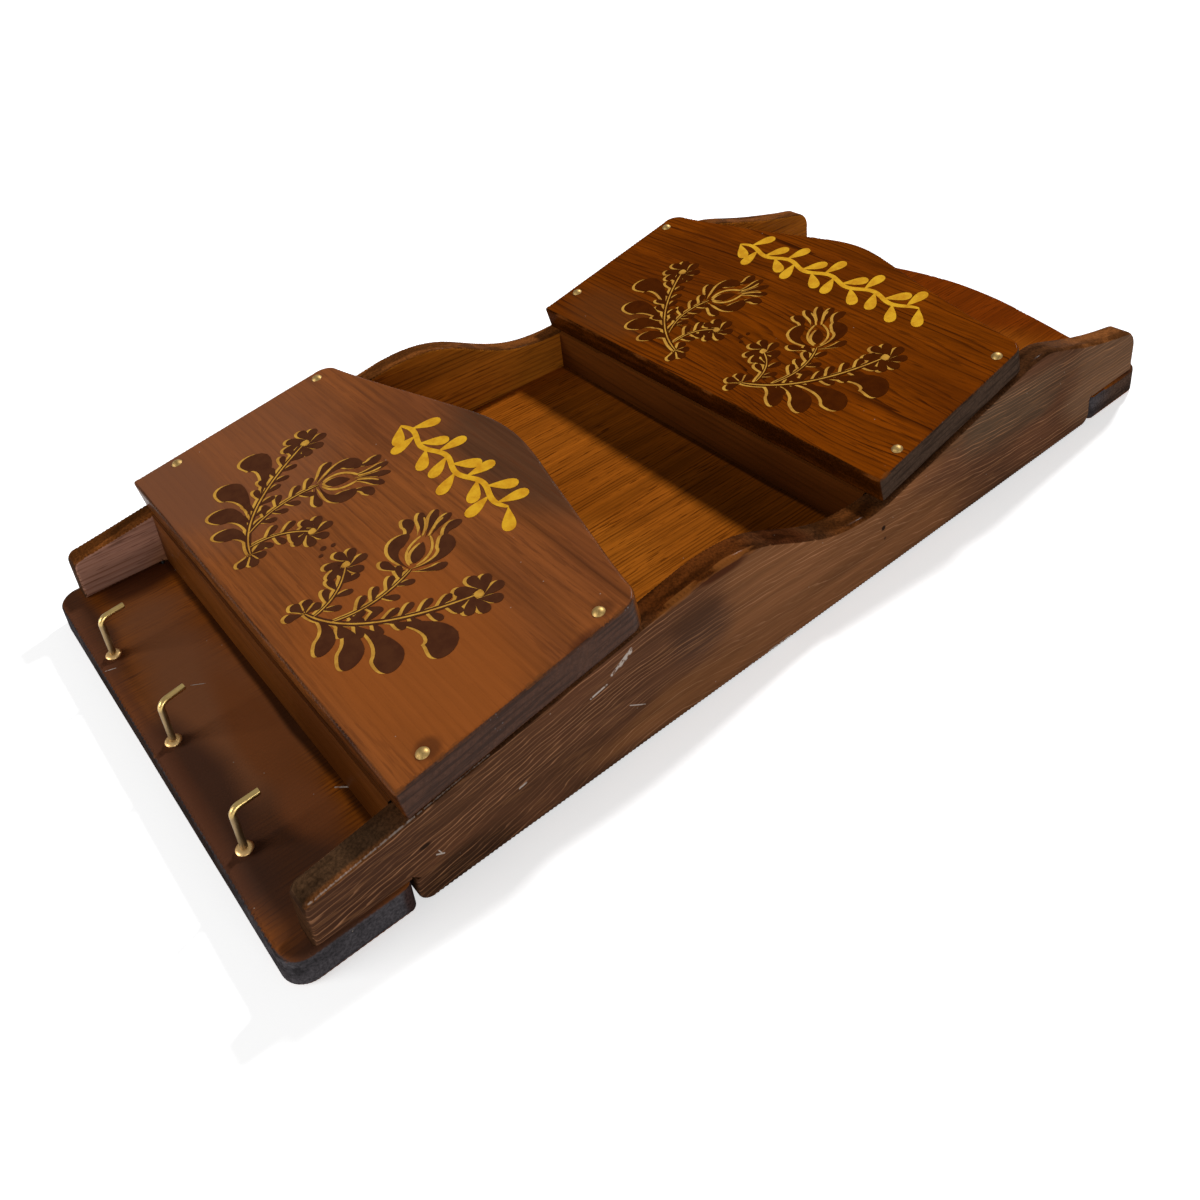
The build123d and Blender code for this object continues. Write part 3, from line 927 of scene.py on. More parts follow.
@dataclass
class Board:
    """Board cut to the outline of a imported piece, with worn arrises and slightly uneven faces."""

    name: str
    node: str
    origin: Point
    across: Axis
    up: Point
    thickness: float
    section_at: float
    low: Rounding
    high: Rounding
    step: float = 2.2
    grid: float = 5.0
    wear_reach: float = 1.8
    unevenness: float = 0.06
    wave_length: float = 28.0
    sharp_angle: float = 50.0
    seed: int = 0
    ring_offsets: tuple[float, ...] = (0.12, 0.3, 0.55, 0.85, 1.3, 1.9, 2.7, 4.0, 6.5)
    flank_shares: tuple[float, ...] = (0.06, 0.2, 0.5, 0.8, 0.94)

    def axes(self) -> np.ndarray:
        """The board's two directions and its normal, as rows."""
        across, up = np.array(self.across.value), np.array(self.up)
        return np.stack([across, up, np.cross(across, up)])

    def outline(self, packed: bpy.types.Object) -> np.ndarray:
        """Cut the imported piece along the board.

        Args:
            packed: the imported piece.

        Returns:
            Outline in the board's plane, in millimetres.
        """
        across, up, normal = self.axes()
        origin = np.array(self.origin) * MM + normal * self.section_at * MM
        return even_loop(longest_loop(section_segments(packed, origin, across, up)), self.step)

    def face_points(self, loop: np.ndarray) -> np.ndarray:
        """Spread points inside the outline: close rows along it and a loose grid between.

        Args:
            loop: the outline.

        Returns:
            The points.
        """
        run = np.roll(loop, -1, 0) - loop
        inward = np.stack([-run[:, 1], run[:, 0]], 1) / np.linalg.norm(run, axis=1)[:, None]
        middle = (loop + np.roll(loop, -1, 0)) / 2
        rows = []
        for offset in self.ring_offsets:
            row = middle + inward * offset
            row = row[inside_loop(row, loop)]
            gap, _ = nearest_on_loop(row, loop)
            rows.append(row[gap > offset * 0.96])
        low, high = loop.min(0), loop.max(0)
        rng = np.random.default_rng(self.seed)
        xs, ys = (np.arange(low[i], high[i], self.grid) for i in (0, 1))
        grid = np.stack(np.meshgrid(xs, ys), -1).reshape(-1, 2)
        grid = grid + rng.uniform(-0.25, 0.25, grid.shape) * self.grid
        grid = grid[inside_loop(grid, loop)]
        gap, _ = nearest_on_loop(grid, loop)
        rows.append(grid[gap > self.ring_offsets[-1] + self.grid * 0.35])
        return np.concatenate(rows)

    def arris(self, rounding: Rounding, loop: np.ndarray, distance: np.ndarray,
              index: np.ndarray) -> Arris:
        """Round one arris.

        Args:
            rounding: how it is rounded.
            loop: the outline.
            distance: distance of each point of the face from the outline.
            index: nearest run of the outline to each point.

        Returns:
            The arris.
        """
        radius, wear = rounding.radius(loop), rounding.wear(loop)
        own = radius[index]
        inside = np.clip(own - distance, 0, own)
        fall = own - np.sqrt(np.maximum(own ** 2 - inside ** 2, 0))
        reach = np.maximum(distance - own, 0)
        return Arris(radius, wear, fall, wear[index] * np.maximum(1 - reach / self.wear_reach, 0))

    def flank(self, loop: np.ndarray, low: Arris, high: Arris
              ) -> tuple[list[np.ndarray], list[np.ndarray]]:
        """Lay rows of points round the board between its two arrises.

        Args:
            loop: the outline.
            low: arris of the low face.
            high: arris of the high face.

        Returns:
            The rows, and how worn each point is.
        """
        places, marks = [], []
        for share in self.flank_shares:
            level = low.radius + (self.thickness - low.radius - high.radius) * share
            places.append(np.column_stack([loop, level]))
            from_low, from_high = (
                np.maximum(1 - gap / self.wear_reach, 0) * arris.wear for gap, arris in
                ((level - low.radius, low), (self.thickness - high.radius - level, high)))
            marks.append(np.maximum(from_low, from_high))
        return places, marks

    def place(self, points: np.ndarray) -> np.ndarray:
        """Board coordinates in millimetres to frame coordinates in metres."""
        return (points @ self.axes() + np.array(self.origin)) * MM

    def build(self, packed: bpy.types.Object) -> bpy.types.Object:
        """Make the board.

        Args:
            packed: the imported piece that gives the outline.

        Returns:
            The new object, not yet dressed.
        """
        loop = self.outline(packed)
        count = len(loop)
        flat = np.concatenate([loop, self.face_points(loop)])
        edges = [(i, (i + 1) % count) for i in range(count)]
        cut = delaunay_2d_cdt([Vector(p) for p in flat], edges, [], 1, 1e-5)
        flat = np.array([tuple(p) for p in cut[0]])
        distance, index = nearest_on_loop(flat, loop)
        distance[:count] = 0.0
        index[:count] = np.arange(count)
        low, high = (self.arris(rounding, loop, distance, index)
                     for rounding in (self.low, self.high))
        rows, worn = self.flank(loop, low, high)
        places = [np.column_stack([flat, low.fall]),
                  np.column_stack([flat, self.thickness - high.fall]), *rows]
        total = len(flat)
        faces = [(a, c, b) for a, b, c in cut[2]]
        faces += [(a + total, b + total, c + total) for a, b, c in cut[2]]
        starts = [0, *(2 * total + row * count for row in range(len(rows))), total]
        for lower, upper in zip(starts, starts[1:]):
            faces += round_quads(lower, upper, count)
        points = self.place(self.uneven(np.concatenate(places)))
        mesh = bpy.data.meshes.new(self.name)
        mesh.from_pydata([tuple(p) for p in points], [], faces)
        values = np.concatenate([low.marks, high.marks, *worn]).astype(np.float32)
        mesh.attributes.new("wear", "FLOAT", "POINT").data.foreach_set("value", values)
        mesh.validate()
        mesh.shade_smooth()
        mesh.set_sharp_from_angle(angle=math.radians(self.sharp_angle))
        return placed(self.name, mesh)

    def uneven(self, points: np.ndarray) -> np.ndarray:
        """Move points a few hundredths of a millimetre, as planing and sanding leave them.

        Args:
            points: the points in board millimetres.

        Returns:
            The moved points.
        """
        moved = points.copy()
        shift = Vector((self.seed * 3.7, 0, 0))
        for i, point in enumerate(points):
            wave = noise.noise_vector(Vector(point) / self.wave_length + shift)
            moved[i] += np.array(wave) * self.unevenness
        return moved


def cover(piece: bpy.types.Object, material: Material) -> None:
    """Give a piece one material."""
    piece.data.materials.clear()
    piece.data.materials.append(material)
    log.info("piece %s in %s", piece.name, material.name)


def dress(piece: bpy.types.Object, material: Material,
          stands_for: Optional[str] = None) -> None:
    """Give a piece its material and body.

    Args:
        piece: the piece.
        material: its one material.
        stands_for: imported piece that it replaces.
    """
    cover(piece, material)
    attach(piece, ROOT)
    if stands_for is not None:
        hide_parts(stands_for)


class StrokeShape(Enum):
    """How wide a painted stroke is along its run."""

    COMMA = "comma"
    LEAF = "leaf"
    LINE = "line"

    def width(self, share: np.ndarray) -> np.ndarray:
        """Shape the stroke.

        Args:
            share: shares of the run from 0 to 1.

        Returns:
            Width at each share, from 0 to 1.
        """
        if self is StrokeShape.COMMA:
            widest = 0.7
            tail = (np.minimum(share, widest) / widest) ** 1.35
            past = np.maximum(share - widest, 0) / (1 - widest)
            return np.where(share < widest, tail, np.sqrt(np.maximum(1 - past ** 2, 0)))
        if self is StrokeShape.LEAF:
            return np.sin(np.pi * share ** 0.85) ** 0.8
        return np.minimum(1.0, 0.35 + 2.2 * np.sqrt(share * (1 - share) + 1e-9))


def broadened(line: np.ndarray, slope: np.ndarray, half: np.ndarray
              ) -> tuple[np.ndarray, np.ndarray]:
    """Both sides of a painted line.

    Args:
        line: its points.
        slope: its direction at each point.
        half: half its width at each point.

    Returns:
        Points of the left and of the right side.
    """
    normal = np.stack([-slope[:, 1], slope[:, 0]], 1) / np.linalg.norm(slope, axis=1)[:, None]
    return line + normal * half[:, None], line - normal * half[:, None]


@dataclass(frozen=True)
class Stroke:
    """One stroke of paint along a bent line, in panel millimetres."""

    start: Pair
    bend: Pair
    end: Pair
    width: float
    shape: StrokeShape = StrokeShape.COMMA

    def at(self, share: np.ndarray) -> np.ndarray:
        """Points of the line at shares of its run from 0 to 1."""
        t = share[:, None]
        a, b, c = (np.array(p) for p in (self.start, self.bend, self.end))
        return (1 - t) ** 2 * a + 2 * (1 - t) * t * b + t ** 2 * c

    def outline(self, samples: int = 22) -> np.ndarray:
        """Draw the stroke.

        Args:
            samples: points along the line.

        Returns:
            Its closed outline.
        """
        share = (1 - np.cos(np.linspace(0, np.pi, samples))) / 2
        t = share[:, None]
        a, b, c = (np.array(p) for p in (self.start, self.bend, self.end))
        line = self.at(share)
        left, right = broadened(line, 2 * (1 - t) * (b - a) + 2 * t * (c - b),
                                self.shape.width(share) * self.width / 2)
        return np.concatenate([left[1:-1], line[-1:], right[1:-1][::-1], line[:1]])

    def mirrored(self) -> "Stroke":
        """The stroke on the other side of the panel's middle."""
        flip = [(-p[0], p[1]) for p in (self.start, self.bend, self.end)]
        return Stroke(*flip, self.width, self.shape)


def circle(centre: Sequence[float], radius: float, count: int) -> np.ndarray:
    """Outline of a circle, in so many points."""
    angles = np.linspace(0, 2 * np.pi, count + 1)[:-1]
    return np.array(centre) + radius * np.stack([np.cos(angles), np.sin(angles)], 1)


def thicken(flat: bmesh.types.BMesh, low: float, high: float, lift: float = 0.03) -> None:
    """Turn separate flat faces into closed low slabs, each a trace higher than the one before.

    Args:
        flat: the faces.
        low: level of their lower sides.
        high: level of the first one's upper side.
        lift: how much higher the last one is.
    """
    faces = list(flat.faces)
    for number, face in enumerate(faces):
        if face.normal.z < 0:
            face.normal_flip()
        grown = bmesh.ops.extrude_face_region(flat, geom=[face], use_keep_orig=True)
        for item in grown["geom"]:
            if isinstance(item, bmesh.types.BMVert):
                item.co.z = high + lift / max(len(faces), 1) * number
        for vert in face.verts:
            vert.co.z = low
    bmesh.ops.recalc_face_normals(flat, faces=flat.faces)


class LeafRow(Nodes):
    """Geometry Nodes tree: leaves along a stem, in turn on either side of it."""

    inputs = (("Leaves", "NodeSocketInt"), ("Leaf Length", "NodeSocketFloat"),
              ("Leaf Width", "NodeSocketFloat"), ("Leaf Angle", "NodeSocketFloat"),
              ("Unevenness", "NodeSocketFloat"), ("Seed", "NodeSocketInt"),
              ("Paint", "NodeSocketMaterial"))
    leaf_points = 20

    def __init__(self) -> None:
        """Build the tree."""
        tree = bpy.data.node_groups.new("leaf_row", "GeometryNodeTree")
        super().__init__(tree)
        tree.interface.new_socket("Stem", in_out="INPUT", socket_type="NodeSocketGeometry")
        self.keys = {
            name: tree.interface.new_socket(name, in_out="INPUT", socket_type=kind).identifier
            for name, kind in self.inputs}
        tree.interface.new_socket("Row", in_out="OUTPUT", socket_type="NodeSocketGeometry")
        given = self.add("NodeGroupInput").outputs
        points = self.add("GeometryNodeCurveToPoints",
                          {"Curve": given["Stem"], "Count": given["Leaves"]}, mode="COUNT").outputs
        aim = self.add("FunctionNodeAlignRotationToVector", {"Vector": points["Tangent"]}, axis="X")
        parity = self.math("MODULO", self.add("GeometryNodeInputIndex").outputs[0], 2.0)
        side = self.minus(self.times(parity, 2.0), 1.0)
        stray = self.add("FunctionNodeRandomValue", {2: -1.0, 3: 1.0, "Seed": given["Seed"]},
                         data_type="FLOAT")
        stray_turn = self.times(stray.outputs[1], given["Unevenness"])
        turn = self.times(side, self.plus(given["Leaf Angle"], stray_turn))
        euler = self.add("ShaderNodeCombineXYZ", {2: turn})
        turned = self.add("FunctionNodeRotateRotation", {0: aim.outputs[0], 1: euler.outputs[0]},
                          rotation_space="LOCAL")
        spread = self.add("GeometryNodeInstanceOnPoints", {
            "Points": points["Points"], "Instance": self.leaf(given),
            "Rotation": turned.outputs[0]})
        real = self.add("GeometryNodeRealizeInstances", {0: spread.outputs[0]})
        dressed = self.add("GeometryNodeSetMaterial",
                           {"Geometry": real.outputs[0], "Material": given["Paint"]})
        self.add("NodeGroupOutput", {0: dressed.outputs[0]})

    def leaf(self, given: bpy.types.NodeOutputs) -> Socket:
        """Shape a flat leaf from the origin along X, wider towards its round end.

        Args:
            given: the tree's inputs.

        Returns:
            The leaf.
        """
        disc = self.add("GeometryNodeMeshCircle", {"Vertices": self.leaf_points, "Radius": 1.0},
                        fill_type="NGON")
        position = self.add("GeometryNodeInputPosition").outputs[0]
        x, y, _ = self.split(position)
        along = self.times(self.plus(x, 1.0), 0.5)
        taper = self.plus(self.times(x, 0.45), 0.55)
        half_width = self.times(given["Leaf Width"], 0.5)
        shaped = self.add("ShaderNodeCombineXYZ", {
            0: self.times(along, given["Leaf Length"]), 1: self.times(y, taper, half_width)})
        return self.add("GeometryNodeSetPosition", {
            "Geometry": disc.outputs[0], "Position": shaped.outputs[0]}).outputs[0]

    def grow(self, stem: np.ndarray, paint: Material, cyclic: bool = False, **sizes: float
             ) -> bmesh.types.BMesh:
        """Run the tree along a stem.

        Args:
            stem: points of the stem in panel millimetres.
            paint: material of the leaves.
            cyclic: whether the stem is closed, as round a blossom's middle.
            sizes: the tree's inputs by name, with _ for spaces.

        Returns:
            Flat leaves as a mesh in panel millimetres.
        """
        curve = bpy.data.curves.new("stem", "CURVE")
        curve.dimensions = "3D"
        spline = curve.splines.new("POLY")
        spline.points.add(len(stem) - 1)
        for point, place in zip(spline.points, stem):
            point.co = (place[0], place[1], 0.0, 1.0)
        spline.use_cyclic_u = cyclic
        holder = placed("stem", curve)
        modifier = holder.modifiers.new("leaf_row", "NODES")
        modifier.node_group = self.tree
        for key, value in sizes.items():
            modifier[self.keys[key.replace("_", " ")]] = value
        modifier[self.keys["Paint"]] = paint
        holder.update_tag()
        bpy.context.view_layer.update()
        mesh = settled(holder)
        grown = bmesh.new()
        grown.from_mesh(mesh)
        holder.modifiers.clear()
        bpy.data.objects.remove(holder)
        bpy.data.curves.remove(curve)
        bpy.data.meshes.remove(mesh)
        return grown


@dataclass
class PaintLayer:
    """Painted shapes of one colour on one panel, gathered into one piece."""

    name: str
    height: float
    shift: Pair = (0.0, 0.0)
    bed: float = 0.08
    shapes: list[np.ndarray] = field(default_factory=list)

    def add(self, *outlines: np.ndarray) -> None:
        """Add closed outlines in panel millimetres."""
        self.shapes.extend(outlines)

    def add_flat(self, flat: bmesh.types.BMesh) -> None:
        """Add the faces of a flat mesh and free it.

        Args:
            flat: the mesh, in panel millimetres.
        """
        for face in flat.faces:
            self.shapes.append(np.array([tuple(v.co)[:2] for v in face.verts]))
        flat.free()

    def build(self, board: Board, paint: Material) -> None:
        """Make the layer on a board's front face.

        Args:
            board: the panel that carries the paint.
            paint: the paint's material.
        """
        flat = bmesh.new()
        for outline in self.shapes:
            corners = [(*(point + np.array(self.shift)), 0.0) for point in outline]
            flat.faces.new([flat.verts.new(corner) for corner in corners])
        flat.normal_update()
        thicken(flat, -self.bed, self.height)
        for vert in flat.verts:
            local = np.array([vert.co.x, vert.co.y, vert.co.z + board.thickness])
            vert.co = Vector(board.place(local[None])[0])
        bmesh.ops.recalc_face_normals(flat, faces=flat.faces)
        dress(placed(self.name, mesh_of(self.name, flat)), paint)


@dataclass
class FolkSpray:
    """Traditional spray for a panel's right half: arched stem, blossoms, tulip, large leaves."""

    root: Pair = (21.0, 14.5)
    stem_bend: Pair = (45.0, 20.0)
    blossom: Pair = (60.5, 57.5)
    blossom_radius: float = 9.0
    inner_blossom: Pair = (12.5, 35.0)
    inner_radius: float = 8.0
    tulip_base: Pair = (33.0, 49.0)
    tulip_length: float = 24.0
    tulip_lean: float = 38.0
    dots: tuple[tuple[Pair, float], ...] = (
        ((0.3, 36.8), 0.9), ((-1.2, 33.6), 1.1), ((1.4, 31.2), 0.8))

    def big_leaves(self) -> list[Stroke]:
        """The comma leaves under the arch of the stem."""
        return [
            Stroke((25.0, 15.5), (36.0, 19.0), (40.5, 8.5), 6.6),
            Stroke((31.0, 18.5), (46.5, 23.5), (52.0, 11.5), 8.4),
            Stroke((37.5, 22.5), (57.0, 30.0), (63.5, 20.0), 10.0),
            Stroke((45.0, 29.5), (66.0, 48.0), (70.5, 33.5), 11.0),
        ]

    def root_lobes(self) -> list[Stroke]:
        """Small round lobes at the foot of the stem."""
        x, y = self.root
        return [Stroke((x, y), (x + dx * 0.5, y + dy * 0.5), (x + dx, y + dy), 3.8)
                for dx, dy in ((-7.0, -1.5), (-5.0, 3.8), (-3.2, -6.2), (0.4, 6.0))]

    def petal(self, run: Sequence[Pair], side: float, width: float,
              shape: StrokeShape = StrokeShape.COMMA) -> Stroke:
        """Draw a stroke of the tulip, which leans inwards.

        Args:
            run: its start, bend and end, each along the flower and out from its middle, in
                lengths of the tulip.
            side: 1 on the right of the flower, -1 on its left.
            width: its width in millimetres.
            shape: how the width changes.

        Returns:
            The stroke.
        """
        lean = math.radians(self.tulip_lean)
        up = np.array([-math.sin(lean), math.cos(lean)])
        across = np.array([up[1], -up[0]])
        base, size = np.array(self.tulip_base), self.tulip_length
        places = [tuple(base + up * along * size + across * (out * side) * size)
                  for along, out in run]
        return Stroke(*places, width, shape)

    def tulip(self) -> list[Stroke]:
        """Cup, lips and inner petals of the tulip.

        Returns:
            The strokes.
        """
        size = self.tulip_length
        petals = [self.petal(run, side, size * width) for side in (-1.0, 1.0) for run, width in (
            (((0.0, 0.02), (0.28, 0.62), (0.64, 0.26)), 0.25),
            (((0.50, 0.33), (0.80, 0.20), (0.92, 0.46)), 0.17),
            (((0.62, 0.08), (0.85, 0.12), (1.08, 0.24)), 0.13),
            (((-0.04, 0.05), (-0.02, 0.35), (0.12, 0.50)), 0.14))]
        petals.append(self.petal(((0.60, 0.0), (0.85, 0.0), (1.15, 0.0)), 1.0, size * 0.13))
        petals.append(self.petal(((0.10, 0.0), (0.30, 0.0), (0.50, 0.0)), 1.0, size * 0.20,
                                 StrokeShape.LEAF))
        return petals

    def tulip_lines(self) -> list[Stroke]:
        """Fine pale lines inside the tulip."""
        return [self.petal(run, side, width, StrokeShape.LINE)
                for side in (-1.0, 1.0) for run, width in (
                    (((0.06, 0.05), (0.30, 0.30), (0.62, 0.07)), 0.9),
                    (((0.62, 0.05), (0.82, 0.05), (0.98, 0.15)), 0.7))]

    def stems(self) -> list[Stroke]:
        """Main stem and the stems of the tulip and the inner blossom."""
        return [
            Stroke(self.root, self.stem_bend, self.blossom, 1.3, StrokeShape.LINE),
            Stroke((31.5, 19.0), (38.5, 32.0), self.tulip_base, 1.0, StrokeShape.LINE),
            Stroke((24.5, 15.8), (24.0, 27.0), self.inner_blossom, 1.0, StrokeShape.LINE),
        ]


@dataclass
class LeafBand:
    """Plain ornament of bold leaves along a wavy stem, in the place above the sprays."""

    left: float
    right: float
    middle: float
    leaves: int
    leaf_length: float = 12.0
    leaf_width: float = 7.6
    leaf_angle: float = 1.05
    wave: float = 1.6
    wave_length: float = 24.0
    stem_width: float = 2.2
    stem_points: int = 90

    def stem(self) -> np.ndarray:
        """Points of the wavy stem."""
        xs = np.linspace(self.left, self.right, self.stem_points)
        turns = (xs - self.left) / self.wave_length
        return np.stack([xs, self.middle + self.wave * np.sin(turns * 2 * np.pi)], 1)

    def stem_outline(self) -> np.ndarray:
        """Closed outline of the stem."""
        line = self.stem()
        half = StrokeShape.LINE.width(np.linspace(0, 1, len(line))) * self.stem_width / 2
        left, right = broadened(line, np.gradient(line, axis=0), half)
        return np.concatenate([left, right[::-1]])


@dataclass(frozen=True)
class Paints:
    """The paints of the panels: brown shapes, the band's yellow and the ochre of highlights."""

    brown: Material
    yellow: Material
    ochre: Material


@dataclass
class PaintedPanel:
    """Front panel with its painted ornament."""

    board: Board
    wood: StainedWood
    spray: FolkSpray
    band: LeafBand
    highlight_shift: Pair = (-0.85, -0.95)
    stem_samples: int = 40
    leaf_spans: tuple[tuple[float, float, int], ...] = (
        (0.28, 0.90, 14), (0.18, 0.85, 8), (0.15, 0.78, 6))

    def paint_spray(self, side: int, rows: LeafRow, brown: Material, under: PaintLayer,
                    over: PaintLayer, lines: PaintLayer) -> None:
        """Paint the spray of one half of the panel.

        Args:
            side: 1 for the right half, -1 for the left.
            rows: the tree that grows leaves.
            brown: the paint of the leaves.
            under: layer of the highlights.
            over: layer of the brown shapes.
            lines: layer of the fine lines.
        """
        spray = self.spray
        both = (over, under)

        def own(strokes: list[Stroke]) -> list[Stroke]:
            """The strokes on this half."""
            return strokes if side > 0 else [stroke.mirrored() for stroke in strokes]

        for shape in own(spray.big_leaves() + spray.root_lobes() + spray.tulip()):
            for layer in both:
                layer.add(shape.outline())
        stems = own(spray.stems())
        for stem in stems:
            for layer in both:
                layer.add(replace(stem, width=stem.width * 1.6).outline(self.stem_samples))
            lines.add(replace(stem, width=stem.width * 0.45).outline(self.stem_samples))
        for stem, (first, last, count) in zip(stems, self.leaf_spans):
            points = stem.at(np.linspace(first, last, 24))
            for layer in both:
                layer.add_flat(rows.grow(points, brown, Leaves=count, Leaf_Length=7.0,
                                         Leaf_Width=3.9, Leaf_Angle=0.8, Unevenness=0.16, Seed=3))
        for centre, radius, petals in ((spray.blossom, spray.blossom_radius, 8),
                                       (spray.inner_blossom, spray.inner_radius, 7)):
            centre = np.array(centre) * np.array([float(side), 1.0])
            middle = circle(centre, radius * 0.22, 32)
            for layer in both:
                layer.add_flat(rows.grow(middle, brown, cyclic=True, Leaves=petals,
                                         Leaf_Length=radius * 0.95, Leaf_Width=radius * 0.66,
                                         Leaf_Angle=0.0, Unevenness=0.1, Seed=5))
            lines.add(circle(centre, radius * 0.17, 16))
        for line in own(spray.tulip_lines()):
            lines.add(line.outline())

    def build(self, nodes: dict, rows: LeafRow, paints: Paints) -> None:
        """Make the panel and its layers of paint.

        Args:
            nodes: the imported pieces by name.
            rows: the tree that grows leaves.
            paints: the paints.
        """
        name = self.board.node
        dress(self.board.build(nodes[name]), self.wood.build(), name)
        under = PaintLayer(f"{name}_highlights", 0.07, self.highlight_shift)
        over = PaintLayer(f"{name}_sprays", 0.11)
        lines = PaintLayer(f"{name}_fine_lines", 0.15)
        for side in (1, -1):
            self.paint_spray(side, rows, paints.brown, under, over, lines)
        for place, size in self.spray.dots:
            over.add(circle(place, size, 16))
        band = PaintLayer(f"{name}_leaf_band", 0.10)
        band.add(self.band.stem_outline())
        band.add_flat(rows.grow(
            self.band.stem(), paints.yellow, Leaves=self.band.leaves,
            Leaf_Length=self.band.leaf_length, Leaf_Width=self.band.leaf_width,
            Leaf_Angle=self.band.leaf_angle, Unevenness=0.05, Seed=9))
        for layer, paint in ((under, paints.ochre), (over, paints.brown), (lines, paints.ochre),
                             (band, paints.yellow)):
            layer.build(self.board, paint)


def ragged(base: float, spread: float, length: float, seed: float) -> AlongOutline:
    """Value that wanders along the outline, by a share of itself and with its wave's length."""
    return lambda loop: base * (1 + spread * wander(loop, length, seed))


def even(base: float) -> AlongOutline:
    """The same value all round the outline."""
    return lambda loop: np.full(len(loop), base)


@dataclass
class HangerRecess:
    """Place of a keyhole plate in the backboard's back, cut out of the board."""

    x: float
    y: float
    plate_width: float = 16.3
    plate_length: float = 42.3
    plate_depth: float = 1.5
    plate_corner: float = 1.0
    room_radius: float = 5.5
    room_length: float = 12.0
    room_depth: float = 6.0
    below: float = 2.0

    def rounded(self, width: float, length: float, corner: float) -> list[Pair]:
        """Outline a rectangle with round corners.

        Args:
            width: its width in millimetres.
            length: its length.
            corner: radius of its corners.

        Returns:
            Points in metres of the frame.
        """
        loop = []
        for sx, sy, start in ((1, -1, -90), (1, 1, 0), (-1, 1, 90), (-1, -1, 180)):
            for step in range(7):
                angle = math.radians(start + step * 15)
                x = sx * (width / 2 - corner) + corner * math.cos(angle) + self.x
                y = sy * (length / 2 - corner) + corner * math.sin(angle) + self.y
                loop.append((x * MM, y * MM))
        return loop

    def cutter(self) -> bpy.types.Object:
        """Make the closed mesh of the recess and the room behind it.

        Returns:
            The cutter.
        """
        shape = bmesh.new()
        room = self.room_radius * 2
        for width, length, depth, corner in (
                (self.plate_width, self.plate_length, self.plate_depth, self.plate_corner),
                (room, room + self.room_length, self.room_depth, self.room_radius - 0.01)):
            loop = self.rounded(width, length, corner)
            lower, upper = ([shape.verts.new((x, y, z * MM)) for x, y in loop]
                            for z in (-self.below, depth))
            shape.faces.new(lower[::-1])
            shape.faces.new(upper)
            for a, b, c, d in round_quads(0, 0, len(loop)):
                shape.faces.new((lower[a], lower[b], upper[c], upper[d]))
        return placed("recess", mesh_of("recess", shape))

    def cut(self, board: bpy.types.Object) -> None:
        """Cut the recess out of a board.

        Args:
            board: the board.
        """
        cutter = self.cutter()
        modifier = board.modifiers.new("recess", "BOOLEAN")
        modifier.operation = "DIFFERENCE"
        modifier.solver = "EXACT"
        modifier.use_self = True
        modifier.object = cutter
        mesh = settled(board)
        board.modifiers.clear()
        old = board.data
        board.data = mesh
        bpy.data.meshes.remove(old)
        bpy.data.objects.remove(cutter)


